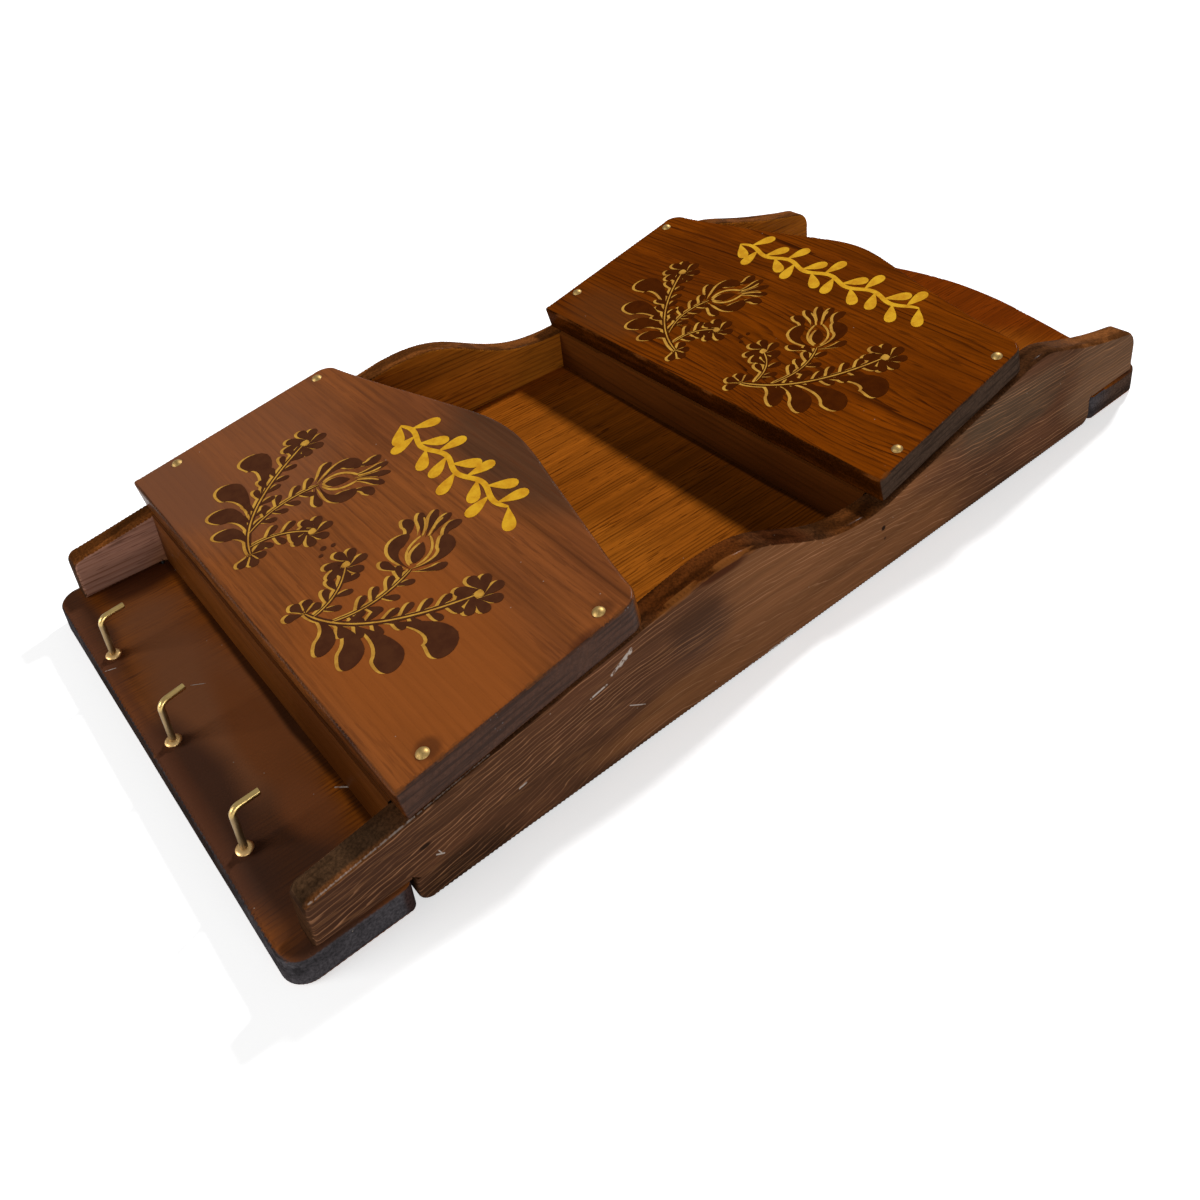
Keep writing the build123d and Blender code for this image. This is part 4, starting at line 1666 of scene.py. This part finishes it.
@dataclass
class Backboard:
    """Long board with narrowed middle, crest and ears, and two hanger recesses in its back."""

    thickness: float = 11.3
    section_at: float = 3.5
    recess_x: float = 60.0
    recess_y: float = 135.35
    ears_from: float = 172.0
    ears_fade: float = 6.0

    def at_ends(self, value: AlongOutline, plain: float) -> AlongOutline:
        """Keep a value at the board's two ends only.

        Args:
            value: the value.
            plain: what it is between them.

        Returns:
            The mixed value.
        """
        def mixed(loop: np.ndarray) -> np.ndarray:
            """The value at each point."""
            share = np.clip((np.abs(loop[:, 1]) - self.ears_from) / self.ears_fade, 0, 1)
            return plain + (value(loop) - plain) * share
        return mixed

    def build(self, nodes: dict) -> None:
        """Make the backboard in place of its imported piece.

        Args:
            nodes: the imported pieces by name.
        """
        front = Rounding(self.at_ends(ragged(1.5, 0.35, 20.0, 3.0), 0.2),
                         self.at_ends(ragged(0.75, 0.25, 14.0, 5.0), 0.0))
        board = Board(
            "backboard_visual", "backboard", (0, 0, 0), Axis.X, Axis.Y.value, self.thickness,
            self.section_at, Rounding(even(0.5), even(0.3)), front, seed=1)
        piece = board.build(nodes["backboard"])
        for side in (-1, 1):
            HangerRecess(side * self.recess_x, self.recess_y).cut(piece)
        wood = StainedWood(
            "backboard_wood", Axis.Y, early=(0.40, 0.108, 0.008), late=(0.085, 0.017, 0.001),
            blotch=(0.22, 0.048, 0.002), end=(0.055, 0.045, 0.045), worn=(0.15, 0.05, 0.016),
            ring=1.5, line_width=0.6, contrast=0.8, pith=(0.17, -0.05), drift=(0.012, 0.0),
            wobble=3.0, blotch_share=0.35, blotch_size=0.07, edge=(0.060, 0.054, 0.058),
            edge_axis=Axis.Z, edge_away=True,
            edge_zones=(Zone((0, 214, 6), (104, 16, 30), (0.050, 0.022, 0.012), 0.9),
                        Zone((102, 200, 6), (30, 34, 30), (0.062, 0.034, 0.022), 0.95),
                        Zone((0, -217, 6), (99, 4, 20), (0.022, 0.011, 0.007), 0.95),
                        Zone((100, -178.5, 6), (10, 3, 9), (0.034, 0.016, 0.013), 0.85)),
            fleck=(0.07, 0.014, 0.001), fleck_share=0.85, roughness=0.36, specular=0.0,
            coat=0.015, seed=0.31,
            zones=(Zone((0, 205, 11), (110, 30, 30), (0.19, 0.030, 0.001), 0.9),
                   # The next two zones are painted light: a brighter pool on the pocket floor beside
                   # the letters panel's shadow.
                   Zone((26, -48, 11), (34, 20, 20), (0.54, 0.155, 0.012), 0.6),
                   Zone((62, -74, 11), (20, 14, 20), (0.28, 0.080, 0.007), 0.6)),
            films_and_painted_light=(Zone((102, -200, 13), (9, 34, 5), (0.055, 0.022, 0.012), 0.95),
                   Zone((102, 202, 13), (9, 34, 5), (0.055, 0.022, 0.012), 0.95),
                   Zone((-5, -194, 11), (96, 24, 30), (0.27, 0.105, 0.046), 0.92),
                   Zone((20, -186, 11), (60, 9, 30), (0.25, 0.066, 0.011), 0.5),
                   Zone((38, -213, 11), (72, 14, 30), (0.085, 0.037, 0.023), 0.9),
                   Zone((72, -203, 11), (34, 20, 30), (0.075, 0.034, 0.021), 0.85),
                   Zone((-70, -213, 11), (60, 9, 30), (0.085, 0.037, 0.023), 0.85),
                   # Painted dark reflection of the left side board in the varnish, along its foot.
                   Zone((-88, -188, 11), (12, 24, 30), (0.045, 0.013, 0.007), 0.85),
                   Zone((0, -215, 10), (110, 5, 30), (0.095, 0.033, 0.016), 0.7),
                   Zone((58, -188, 11), (16, 10, 30), (0.29, 0.095, 0.033), 0.8),
                   # These two thin zones are painted shade in the creases where the shelves meet the
                   # backboard.
                   Zone((0, -175.5, 11), (120, 3.2, 6), (0.02, 0.006, 0.003), 0.85),
                   Zone((0, 26.2, 11), (120, 2.2, 6), (0.02, 0.006, 0.002), 0.8)),
            scratches_and_highlights=(ScratchAndHighlight((-45.7, -212, 11.3), (-47, -216, 11.3), 0.2),
                       ScratchAndHighlight((-17.8, -195, 11.3), (-15.0, -190.8, 11.3), 0.2),
                       ScratchAndHighlight((57, -178, 11.3), (60, -174.6, 11.3), 0.4),
                       ScratchAndHighlight((-51, -173.6, 11.4), (-47, -172.9, 11.4), 0.4)))
        dress(piece, wood.build(), "backboard")


@dataclass
class SideBoards:
    """The two side boards with worn outer arrises on their scooped fronts."""

    outer_face: float = 102.0
    thickness: float = 10.0
    front_fade: float = 12.0
    bump_place: float = -62.0
    bump_reach: float = 26.0

    def arris(self, front: float, back: float, seed: float) -> AlongOutline:
        """Make a radius that is larger on the front outline than at the back.

        Args:
            front: radius at the front.
            back: radius at the back.
            seed: start of its noise.

        Returns:
            The radius.
        """
        def value(loop: np.ndarray) -> np.ndarray:
            """The radius at each point."""
            share = np.clip((loop[:, 1] - 2.0) / self.front_fade, 0, 1)
            waves = wander(loop, 18.0, seed)
            return np.maximum(back + (front - back) * share * (1 + 0.3 * waves), 0.15)
        return value

    def wear(self, base: float, middle: float, seed: float) -> AlongOutline:
        """Make wear along the front, heaviest on the bump above the lower pocket.

        Args:
            base: wear along the front.
            middle: wear on the bump.
            seed: start of its noise.

        Returns:
            The wear.
        """
        def value(loop: np.ndarray) -> np.ndarray:
            """The wear at each point."""
            front = np.clip((loop[:, 1] - 6.0) / self.front_fade, 0, 1)
            central = np.exp(-((loop[:, 0] - self.bump_place) / self.bump_reach) ** 2)
            waves = wander(loop, 9.0, seed)
            return np.clip(front * (base + (middle - base) * central) * (1 + 0.35 * waves), 0, 1.3)
        return value

    def build(self, nodes: dict) -> None:
        """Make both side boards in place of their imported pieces.

        Args:
            nodes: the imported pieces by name.
        """
        inner = Rounding(self.arris(1.0, 0.3, 2.0), self.wear(0.52, 0.72, 4.0))
        outer = Rounding(self.arris(1.7, 0.5, 6.0), self.wear(0.6, 1.0, 8.0))
        right = Board(
            "side_right_visual", "side_right", (self.outer_face - self.thickness, 0, 0), Axis.Y,
            Axis.Z.value, self.thickness, 7.5, inner, outer, step=1.6, grid=3.5, seed=2)
        left = Board(
            "side_left_visual", "side_left", (-self.outer_face, 0, 0), Axis.Y,
            Axis.Z.value, self.thickness, 2.5, outer, inner, step=1.6, grid=3.5, seed=3)
        right_wood = StainedWood(
            "side_right_wood", Axis.Y, early=(0.094, 0.040, 0.020), late=(0.40, 0.185, 0.088),
            blotch=(0.145, 0.058, 0.028), end=(0.06, 0.026, 0.012), worn=(0.24, 0.080, 0.017),
            ring=1.55, line_width=0.3, contrast=1.0, pith=(0.03, -0.09), drift=(0.0, 0.0),
            wobble=3.0, waver=60.0, swells=(Swell((102, -62, 40), (400, 130, 400), 27.0),
                                            Swell((102, -84, 0), (400, 34, 20), 12.0)),
            blotch_share=0.7, blotch_size=0.03, edge=(0.070, 0.026, 0.009),
            edge_zones=(Zone((97, -196, 27), (14, 27, 12), (0.055, 0.029, 0.014), 0.85),
                        Zone((102, -196, 27), (2.4, 27, 9), (0.17, 0.060, 0.017), 0.85),
                        Zone((97, 10, 30), (14, 16, 9), (0.10, 0.030, 0.006), 0.8),
                        Zone((97, -62, 50), (12, 30, 20), (0.098, 0.025, 0.004), 0.9),
                        # Painted shadow on the front edges just beyond the bump.
                        Zone((97, -22, 42), (12, 16, 14), (0.045, 0.011, 0.003), 0.8),
                        Zone((97, 185, 32), (12, 55, 30), (0.19, 0.064, 0.016), 0.9)),
            fleck=(0.25, 0.11, 0.045), fleck_share=0.3, roughness=0.5, specular=0.0, coat=0.02,
            seed=0.11,
            zones=(Zone((102, 4, 20), (40, 80, 60), (0.245, 0.098, 0.037), 0.75),
                   Zone((102, -70, 8), (40, 44, 8), (0.220, 0.088, 0.033), 0.8),
                   Zone((102, -64, 29), (40, 16, 12), (0.070, 0.035, 0.022), 0.7),
                   Zone((102, -190, 20), (40, 26, 14), (0.062, 0.026, 0.015), 0.6),
                   Zone((102, -160, 5), (40, 22, 9), (0.042, 0.019, 0.010), 0.8),
                   # These two zones are a painted reflection: the outer face paler and greyer towards
                   # the far end.
                   Zone((102, 172, 24), (40, 34, 30), (0.180, 0.098, 0.054), 0.75),
                   Zone((102, 104, 34), (40, 46, 17), (0.108, 0.068, 0.040), 0.8)),
            films_and_painted_light=(Zone((102, -54, 49), (3, 13, 2.8), (0.062, 0.017, 0.006), 0.9),
                   Zone((102, -66, 38), (3, 14, 7), (0.060, 0.026, 0.014), 0.6),
                   Zone((102, -171.2, 21), (3, 2.2, 1.1), (0.020, 0.010, 0.006), 0.9),
                   Zone((102, 26.4, 20.0), (1.3, 1.3, 1.3), (0.012, 0.006, 0.004), 0.95),
                   Zone((102, 27.4, 14.8), (0.9, 0.9, 0.9), (0.03, 0.015, 0.009), 0.7)),
            scratches_and_highlights=(ScratchAndHighlight((102, -92.9, 42.0), (102, -101.0, 37.0), 0.75),
                       ScratchAndHighlight((102, -93.2, 41.0), (102, -97.5, 38.4), 0.9),
                       ScratchAndHighlight((102, -103.5, 34.5), (102, -109.7, 33.3), 0.5),
                       ScratchAndHighlight((102, -138.7, 17.9), (102, -135.8, 18.5), 0.5),
                       ScratchAndHighlight((102, -168.5, 15.0), (102, -166.2, 13.6), 0.35),
                       ScratchAndHighlight((102, -167.6, 16.0), (102, -166.8, 14.0), 0.25),
                       ScratchAndHighlight((102, -95.6, 20.0), (102, -89.7, 16.2), 0.25),
                       # The next two lines are a painted highlight along the outer arris, not
                       # scratches.
                       ScratchAndHighlight((101.4, -211.0, 27.4), (101.4, -172.0, 33.4), 0.42, 0.5),
                       ScratchAndHighlight((101.4, -171.0, 33.5), (101.4, -146.0, 37.4), 0.3, 0.35),
                       ScratchAndHighlight((102, -33.6, 0.6), (102, -23.6, 0.6), 0.9),
                       ScratchAndHighlight((102, -44.0, 0.5), (102, -39.0, 0.8), 0.6)))
        left_wood = StainedWood(
            "side_left_wood", Axis.Y, early=(0.50, 0.160, 0.014), late=(0.095, 0.026, 0.004),
            blotch=(0.33, 0.098, 0.010), end=(0.06, 0.026, 0.012), worn=(0.24, 0.09, 0.026),
            ring=1.9, line_width=0.5, contrast=0.75, pith=(0.0, -0.08), drift=(0.0, 0.03),
            wobble=3.0, blotch_share=0.45, blotch_size=0.05, edge=(0.17, 0.053, 0.011),
            fleck_share=0.5, roughness=0.4, specular=0.0, coat=0.02, seed=0.57,
            zones=(Zone((-92, -196, 25), (30, 34, 40), (0.42, 0.22, 0.160), 0.9),
                   Zone((-102, 0, 30), (7, 420, 160), (0.150, 0.058, 0.022), 0.85)))
        for board, wood in ((right, right_wood), (left, left_wood)):
            dress(board.build(nodes[board.node]), wood.build(), board.node)


@dataclass
class FrontPanels:
    """The two camel-back front panels with their painted sprays."""

    bills_slope: float = 8.8
    letters_slope: float = 12.6

    def board(self, node: str, foot: Pair, slope: float, thickness: float, seed: int) -> Board:
        """Lay out a panel whose plane leans out from the backboard.

        Args:
            node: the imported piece.
            foot: its lower back edge, up the wall and out from it.
            slope: how far it leans, in degrees.
            thickness: its thickness.
            seed: start of its noise.

        Returns:
            The panel's board.
        """
        lean = math.radians(slope)
        front = Rounding(ragged(0.9, 0.35, 12.0, seed + 0.5), ragged(0.85, 0.3, 10.0, seed + 2.5))
        return Board(f"{node}_visual", node, (0, *foot), Axis.X,
                     (0, math.cos(lean), math.sin(lean)), thickness, thickness / 2,
                     Rounding(even(0.35), even(0.3)), front, step=1.8, grid=4.0, seed=seed)

    def bills(self) -> PaintedPanel:
        """The lower panel."""
        return PaintedPanel(
            self.board("bills_panel", (-174.05, 33.5), self.bills_slope, 12.1, 4),
            StainedWood(
                "bills_panel_wood", Axis.X, early=(0.255, 0.074, 0.016), late=(0.090, 0.026, 0.008),
                blotch=(0.155, 0.045, 0.014), end=(0.084, 0.036, 0.021), worn=(0.16, 0.050, 0.012),
                tilt=self.bills_slope, ring=2.7, line_width=0.6, contrast=0.5, pith=(0.06, -0.03),
                drift=(0.01, 0.0), wobble=9.0, blotch_share=0.6, blotch_size=0.05, speck_share=0.5,
                edge=(0.125, 0.036, 0.006), edge_axis=Axis.Y, fleck=(0.10, 0.028, 0.008),
                fleck_share=0.45, roughness=0.36, specular=0.05, coat=0.02, seed=0.23,
                zones=(Zone((12, -70, 60), (72, 21, 60), (0.092, 0.035, 0.014), 0.97),),
                edge_zones=(Zone((84, -174, 36), (34, 16, 20), (0.066, 0.017, 0.003), 0.85),),
                # The first two zones are a painted reflection: the face paler and greyer towards its
                # lower left.
                films_and_painted_light=(Zone((-80, -167, 46), (28, 13, 60), (0.130, 0.050, 0.025), 0.75),
                       Zone((-76, -140, 45), (56, 50, 60), (0.195, 0.070, 0.029), 0.6),
                       Zone((62, -142, 45), (56, 34, 60), (0.29, 0.077, 0.013), 0.72),
                       Zone((101.6, -108, 49), (4, 9, 14), (0.060, 0.015, 0.006), 0.7),
                       # The next two zones are painted shade in rings round the pins.
                       Zone((96.2, -161.5, 47), (4.2, 4.2, 6), (0.06, 0.018, 0.006), 0.6),
                       Zone((96.2, -97, 58), (4.2, 4.2, 6), (0.06, 0.018, 0.006), 0.5))),
            FolkSpray(), LeafBand(left=-36, right=36, middle=87.5, leaves=15))

    def letters(self) -> PaintedPanel:
        """The upper panel."""
        return PaintedPanel(
            self.board("letters_panel", (27.95, 30.0), self.letters_slope, 10.8, 5),
            StainedWood(
                "letters_panel_wood", Axis.X, early=(0.205, 0.043, 0.001),
                late=(0.024, 0.004, 0.001), blotch=(0.105, 0.020, 0.001),
                end=(0.074, 0.043, 0.028), worn=(0.18, 0.050, 0.008), tilt=self.letters_slope,
                ring=2.2, line_width=0.5, contrast=1.0, pith=(-0.10, -0.02), drift=(0.03, 0.0),
                wobble=11.0, blotch_share=0.6, blotch_size=0.045, speck_share=0.12,
                swells=(Swell((58, 44, 40), (44, 15, 400), -22.0),
                        Swell((-22, 78, 50), (36, 13, 400), 20.0),
                        Swell((20, 30, 40), (30, 9, 400), 14.0)),
                edge=(0.060, 0.014, 0.001), edge_axis=Axis.Y, fleck=(0.045, 0.010, 0.001),
                fleck_share=0.6, roughness=0.34, specular=0.0, coat=0.02, seed=0.71,
                films_and_painted_light=(Zone((-72, 40, 40), (34, 18, 60), (0.12, 0.036, 0.008), 0.6),)),
            FolkSpray(root=(20.0, 12.0), blossom=(59.5, 54.5), inner_blossom=(14.0, 31.5),
                      tulip_base=(32.0, 45.0)),
            LeafBand(left=-50, right=52, middle=84.5, leaves=19))

    def build(self, nodes: dict, rows: LeafRow, paints: Paints) -> None:
        """Make both panels with their paint.

        Args:
            nodes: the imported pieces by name.
            rows: the tree that grows leaves.
            paints: the paints, of which the upper panel has a deeper brown.
        """
        deep = Paint("deep_brown_paint", (0.070, 0.014, 0.001), (0.052, 0.010, 0.001)).build()
        self.bills().build(nodes, rows, paints)
        self.letters().build(nodes, rows, replace(paints, brown=deep))


@dataclass
class Shelves:
    """The two shelves behind the panels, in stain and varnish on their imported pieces."""

    seeds: tuple[tuple[str, float], ...] = (("bills_shelf", 0.4), ("letters_shelf", 0.9))

    def build(self, nodes: dict) -> None:
        """Dress both shelves.

        Args:
            nodes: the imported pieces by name.
        """
        for node, seed in self.seeds:
            wood = StainedWood(
                f"{node}_wood", Axis.X, early=(0.13, 0.036, 0.005), late=(0.045, 0.012, 0.002),
                blotch=(0.07, 0.020, 0.004), end=(0.05, 0.025, 0.014), worn=(0.2, 0.1, 0.05),
                ring=2.8, contrast=0.7, pith=(0.09, -0.06), specular=0.08, coat=0.02, seed=seed,
                # Both zones are painted shadow, where the panels shade the shelves.
                films_and_painted_light=(Zone((52, -172, 22), (46, 12, 20), (0.050, 0.012, 0.001), 0.85),
                       Zone((70, 30, 20), (40, 12, 20), (0.060, 0.014, 0.002), 0.35)))
            cover(nodes[node], wood.build())


def closed_rows(name: str, rows: np.ndarray, sharp_angle: float = 40.0) -> bpy.types.Object:
    """Close a piece through rings of points, with both ends capped.

    Args:
        name: the piece's name.
        rows: points in millimetres of the frame, as an array of shape (rings, points, 3).
        sharp_angle: edges sharper than this stay sharp, in degrees.

    Returns:
        The new object, not yet dressed.
    """
    count = rows.shape[1]
    faces = [tuple(range(count)), tuple(range((len(rows) - 1) * count, len(rows) * count))]
    for row in range(len(rows) - 1):
        faces += round_quads(row * count, (row + 1) * count, count)
    mesh = bpy.data.meshes.new(name)
    mesh.from_pydata([tuple(p * MM) for p in rows.reshape(-1, 3)], [], faces)
    shape = bmesh.new()
    shape.from_mesh(mesh)
    bmesh.ops.recalc_face_normals(shape, faces=shape.faces)
    shape.to_mesh(mesh)
    shape.free()
    mesh.shade_smooth()
    mesh.set_sharp_from_angle(angle=math.radians(sharp_angle))
    return placed(name, mesh)


@dataclass
class KeyHooks:
    """Square-bent wire hooks with their dished collars, as thick as the photograph shows them."""

    places: tuple[tuple[str, float, float, float], ...] = (
        ("left", -51.7, -210.35, 9.0), ("middle", 3.6, -209.25, 12.0),
        ("right", 59.2, -208.95, 4.0))
    board_face: float = 11.3
    foot: float = 2.4
    wire_radius: float = 1.18
    point_share: float = 0.2
    reach: float = 17.9
    arm: float = 9.2
    bend: float = 2.7
    chamfer: float = 0.14
    collar_profile: tuple[Pair, ...] = (
        (1.9, 0.0), (2.2, 0.5), (2.7, 1.0), (2.82, 1.35), (2.65, 1.65), (2.1, 1.95), (1.5, 2.1),
        (1.0, 2.15))

    def wire(self, x: float, y: float, turn: float) -> np.ndarray:
        """Bend a hook's wire.

        Args:
            x: place of the hook across the board.
            y: place of the hook along the board.
            turn: how far the arm is turned towards the left, in degrees.

        Returns:
            Points in millimetres, as an array of shape (rings, points, 3).
        """
        top = self.board_face + self.reach
        arc = np.linspace(0, math.pi / 2, 13)
        out = np.concatenate([[0, 0, 0], self.bend * (1 - np.cos(arc)),
                              [self.arm * 0.7, self.arm - self.chamfer, self.arm]])
        rise = np.concatenate([[self.foot, self.board_face, top - self.bend - 2],
                               top - self.bend + self.bend * np.sin(arc), [top, top, top]])
        lean = np.concatenate([[0, 0, 0], arc, [math.pi / 2] * 3])
        radius = np.full(len(out), self.wire_radius)
        radius[0] *= self.point_share
        radius[-1] -= self.chamfer
        around = np.linspace(0, 2 * math.pi, 29)[:-1]
        ahead = out[:, None] + radius[:, None] * np.cos(around) * np.cos(lean)[:, None]
        height = rise[:, None] - radius[:, None] * np.cos(around) * np.sin(lean)[:, None]
        beside = radius[:, None] * np.sin(around) + 0 * height
        angle = math.radians(turn)
        return np.stack([x + beside * math.cos(angle) - ahead * math.sin(angle),
                         y + beside * math.sin(angle) + ahead * math.cos(angle), height], -1)

    def collar(self, x: float, y: float) -> np.ndarray:
        """Turn the collar round a hook's foot.

        Args:
            x: place of the hook across the board.
            y: place of the hook along the board.

        Returns:
            Points in millimetres, as an array of shape (rings, points, 3).
        """
        around = np.linspace(0, 2 * math.pi, 41)[:-1]
        profile = np.array(self.collar_profile)
        radius, rise = profile[:, :1], profile[:, 1:]
        return np.stack([x + radius * np.cos(around), y + radius * np.sin(around),
                         self.board_face + rise + 0 * around], -1)

    def build(self) -> None:
        """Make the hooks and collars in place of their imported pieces."""
        # The hook brass gets a painted dark reflection of the wood on the shanks, below the arm.
        brass = Metal("hook_brass", (0.68, 0.48, 0.18), (0.34, 0.21, 0.07), 0.22, 0.6, 120.0,
                      dark_reflection=(0.29, 0.20, 0.10)).build()
        pressed = Metal("collar_brass", (0.80, 0.52, 0.22), (0.40, 0.22, 0.07), 0.36, 0.6,
                        400.0).build()
        for name, x, y, turn in self.places:
            for node, rows, material, slot in (
                    (f"key_hook_{name}", self.wire(x, y, turn), brass, Slot.HOOK),
                    (f"hook_collar_{name}", self.collar(x, y), pressed, Slot.COLLAR)):
                dress(closed_rows(f"{node}_visual", rows), material, node)


@dataclass
class Fittings:
    """Brass pins, zinc plates, screws and nails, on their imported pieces."""

    metals: tuple[tuple[str, Metal], ...] = (
        ("panel_pins",
         Metal("pin_brass", (0.44, 0.29, 0.105), (0.22, 0.13, 0.045), 0.5, 0.8, 700.0)),
        ("hanger_plate", Metal("plate_zinc", (0.60, 0.60, 0.58), (0.40, 0.40, 0.39), 0.42)),
        ("hanger_screws", Metal("screw_steel", (0.56, 0.56, 0.55), (0.34, 0.33, 0.32), 0.36)),
        ("nails", Metal("nail_steel", (0.34, 0.32, 0.30), (0.18, 0.13, 0.10), 0.45, 0.7)),
    )

    def build(self, nodes: dict) -> None:
        """Dress every fitting.

        Args:
            nodes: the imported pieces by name.
        """
        for part, metal in self.metals:
            material = metal.build()
            for name in sorted(nodes):
                if part in name:
                    cover(nodes[name], material)


@dataclass(frozen=True)
class Lamp:
    """Soft rectangular lamp that looks at a point, in metres and watts."""

    name: str
    place: Point
    aim: Point
    size: Pair
    power: float

    def build(self) -> None:
        """Set up the lamp."""
        data = bpy.data.lights.new(self.name, "AREA")
        data.shape = "RECTANGLE"
        data.size, data.size_y = self.size
        data.energy = self.power
        lamp = placed(self.name, data)
        lamp.location = self.place
        gaze = Vector(self.aim) - Vector(self.place)
        lamp.rotation_euler = gaze.to_track_quat("-Z", "Y").to_euler()


@dataclass
class Studio:
    """Pale floor, soft studio light and the camera of the photograph."""

    floor_half: float = 8.0
    floor_level: float = -0.0008
    floor_grey: float = 0.88
    backdrop_lift: float = 0.6
    world_level: float = 0.12
    mirrored_world: float = 0.4
    camera_place: Point = (317.399, -249.968, 299.785)
    camera_turn: Point = (60.8768, 5.9148, 51.6473)
    lens: float = 35.243
    sensor: float = 36.0
    shift: Pair = (0.0183, -0.2197)
    lamps: tuple[Lamp, ...] = (
        Lamp("key", (-0.53, 2.12, 2.12), (0.0, 0.05, 0.02), (0.3, 0.3), 76.0),
        Lamp("right_fill", (2.4, -0.4, 0.45), (0.0, 0.0, 0.02), (1.4, 0.7), 19.0),
        Lamp("front_fill", (-0.6, -2.4, 1.0), (0.0, 0.0, 0.02), (1.4, 1.0), 36.0))

    def floor(self) -> None:
        """Lay a large pale floor, clear of the object's back by a hair."""
        mesh = bpy.data.meshes.new("floor")
        half = self.floor_half
        corners = [(x * half, y * half, self.floor_level)
                   for x, y in ((-1, -1), (1, -1), (1, 1), (-1, 1))]
        mesh.from_pydata(corners, [], [(0, 1, 2, 3)])
        floor = placed("floor", mesh)
        shader = Shader("floor_white")
        rays = shader.add("ShaderNodeLightPath").outputs
        seen = shader.math("MAXIMUM", rays["Is Camera Ray"], rays["Is Glossy Ray"])
        seen = shader.math("MAXIMUM", seen, rays["Is Transmission Ray"])
        floor.data.materials.append(shader.finish(
            (self.floor_grey,) * 3, 0.9, Specular_IOR_Level=0.1, Emission_Color=(1, 1, 1),
            Emission_Strength=shader.times(seen, self.backdrop_lift)))
        floor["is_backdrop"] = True

    def world(self) -> None:
        """Light the object weakly and evenly, and more brightly where metal mirrors the world."""
        world = bpy.data.worlds.new("studio")
        world.use_nodes = True
        nodes = Nodes(world.node_tree)
        glossy = nodes.add("ShaderNodeLightPath").outputs["Is Glossy Ray"]
        level = nodes.add("ShaderNodeMapRange",
                          {0: glossy, 3: self.world_level, 4: self.mirrored_world}).outputs[0]
        light = nodes.add("ShaderNodeBackground", {"Color": (1, 1, 1), "Strength": level})
        nodes.add("ShaderNodeOutputWorld", {"Surface": light.outputs[0]})
        bpy.context.scene.world = world

    def camera(self) -> None:
        """Set up the camera of the photograph."""
        data = bpy.data.cameras.new("photo_camera")
        data.lens = self.lens
        data.sensor_width = self.sensor
        data.shift_x, data.shift_y = self.shift
        data.clip_start = 0.01
        camera = placed("photo_camera", data)
        camera.location = [value * MM for value in self.camera_place]
        camera.rotation_euler = [math.radians(angle) for angle in self.camera_turn]
        bpy.context.scene.camera = camera

    def build(self) -> None:
        """Set up the floor, the world, the lamps and the camera."""
        self.floor()
        self.world()
        for lamp in self.lamps:
            lamp.build()
        self.camera()
        bpy.context.scene.view_settings.view_transform = "Standard"
        log.info("floor, lights and camera are set")


def corners() -> list[list[float]]:
    """Lowest and highest corner of the shown object."""
    return [list(corner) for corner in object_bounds()]


def main() -> None:
    """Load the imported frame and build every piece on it."""
    noise.seed_set(NOISE_SEED)
    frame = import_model()
    nodes = frame["nodes"]
    brown = Paint("brown_paint", (0.082, 0.027, 0.011), (0.064, 0.020, 0.009)).build()
    yellow = Paint("yellow_paint", (0.76, 0.41, 0.022), (0.60, 0.27, 0.014)).build()
    ochre = Paint("ochre_paint", (0.62, 0.33, 0.05), (0.42, 0.19, 0.03)).build()
    Backboard().build(nodes)
    SideBoards().build(nodes)
    Shelves().build(nodes)
    FrontPanels().build(nodes, LeafRow(), Paints(brown, yellow, ochre))
    KeyHooks().build()
    Fittings().build(nodes)
    Studio().build()


if __name__ == "__main__":
    logging.basicConfig(level=logging.INFO, format="%(message)s")
    main()
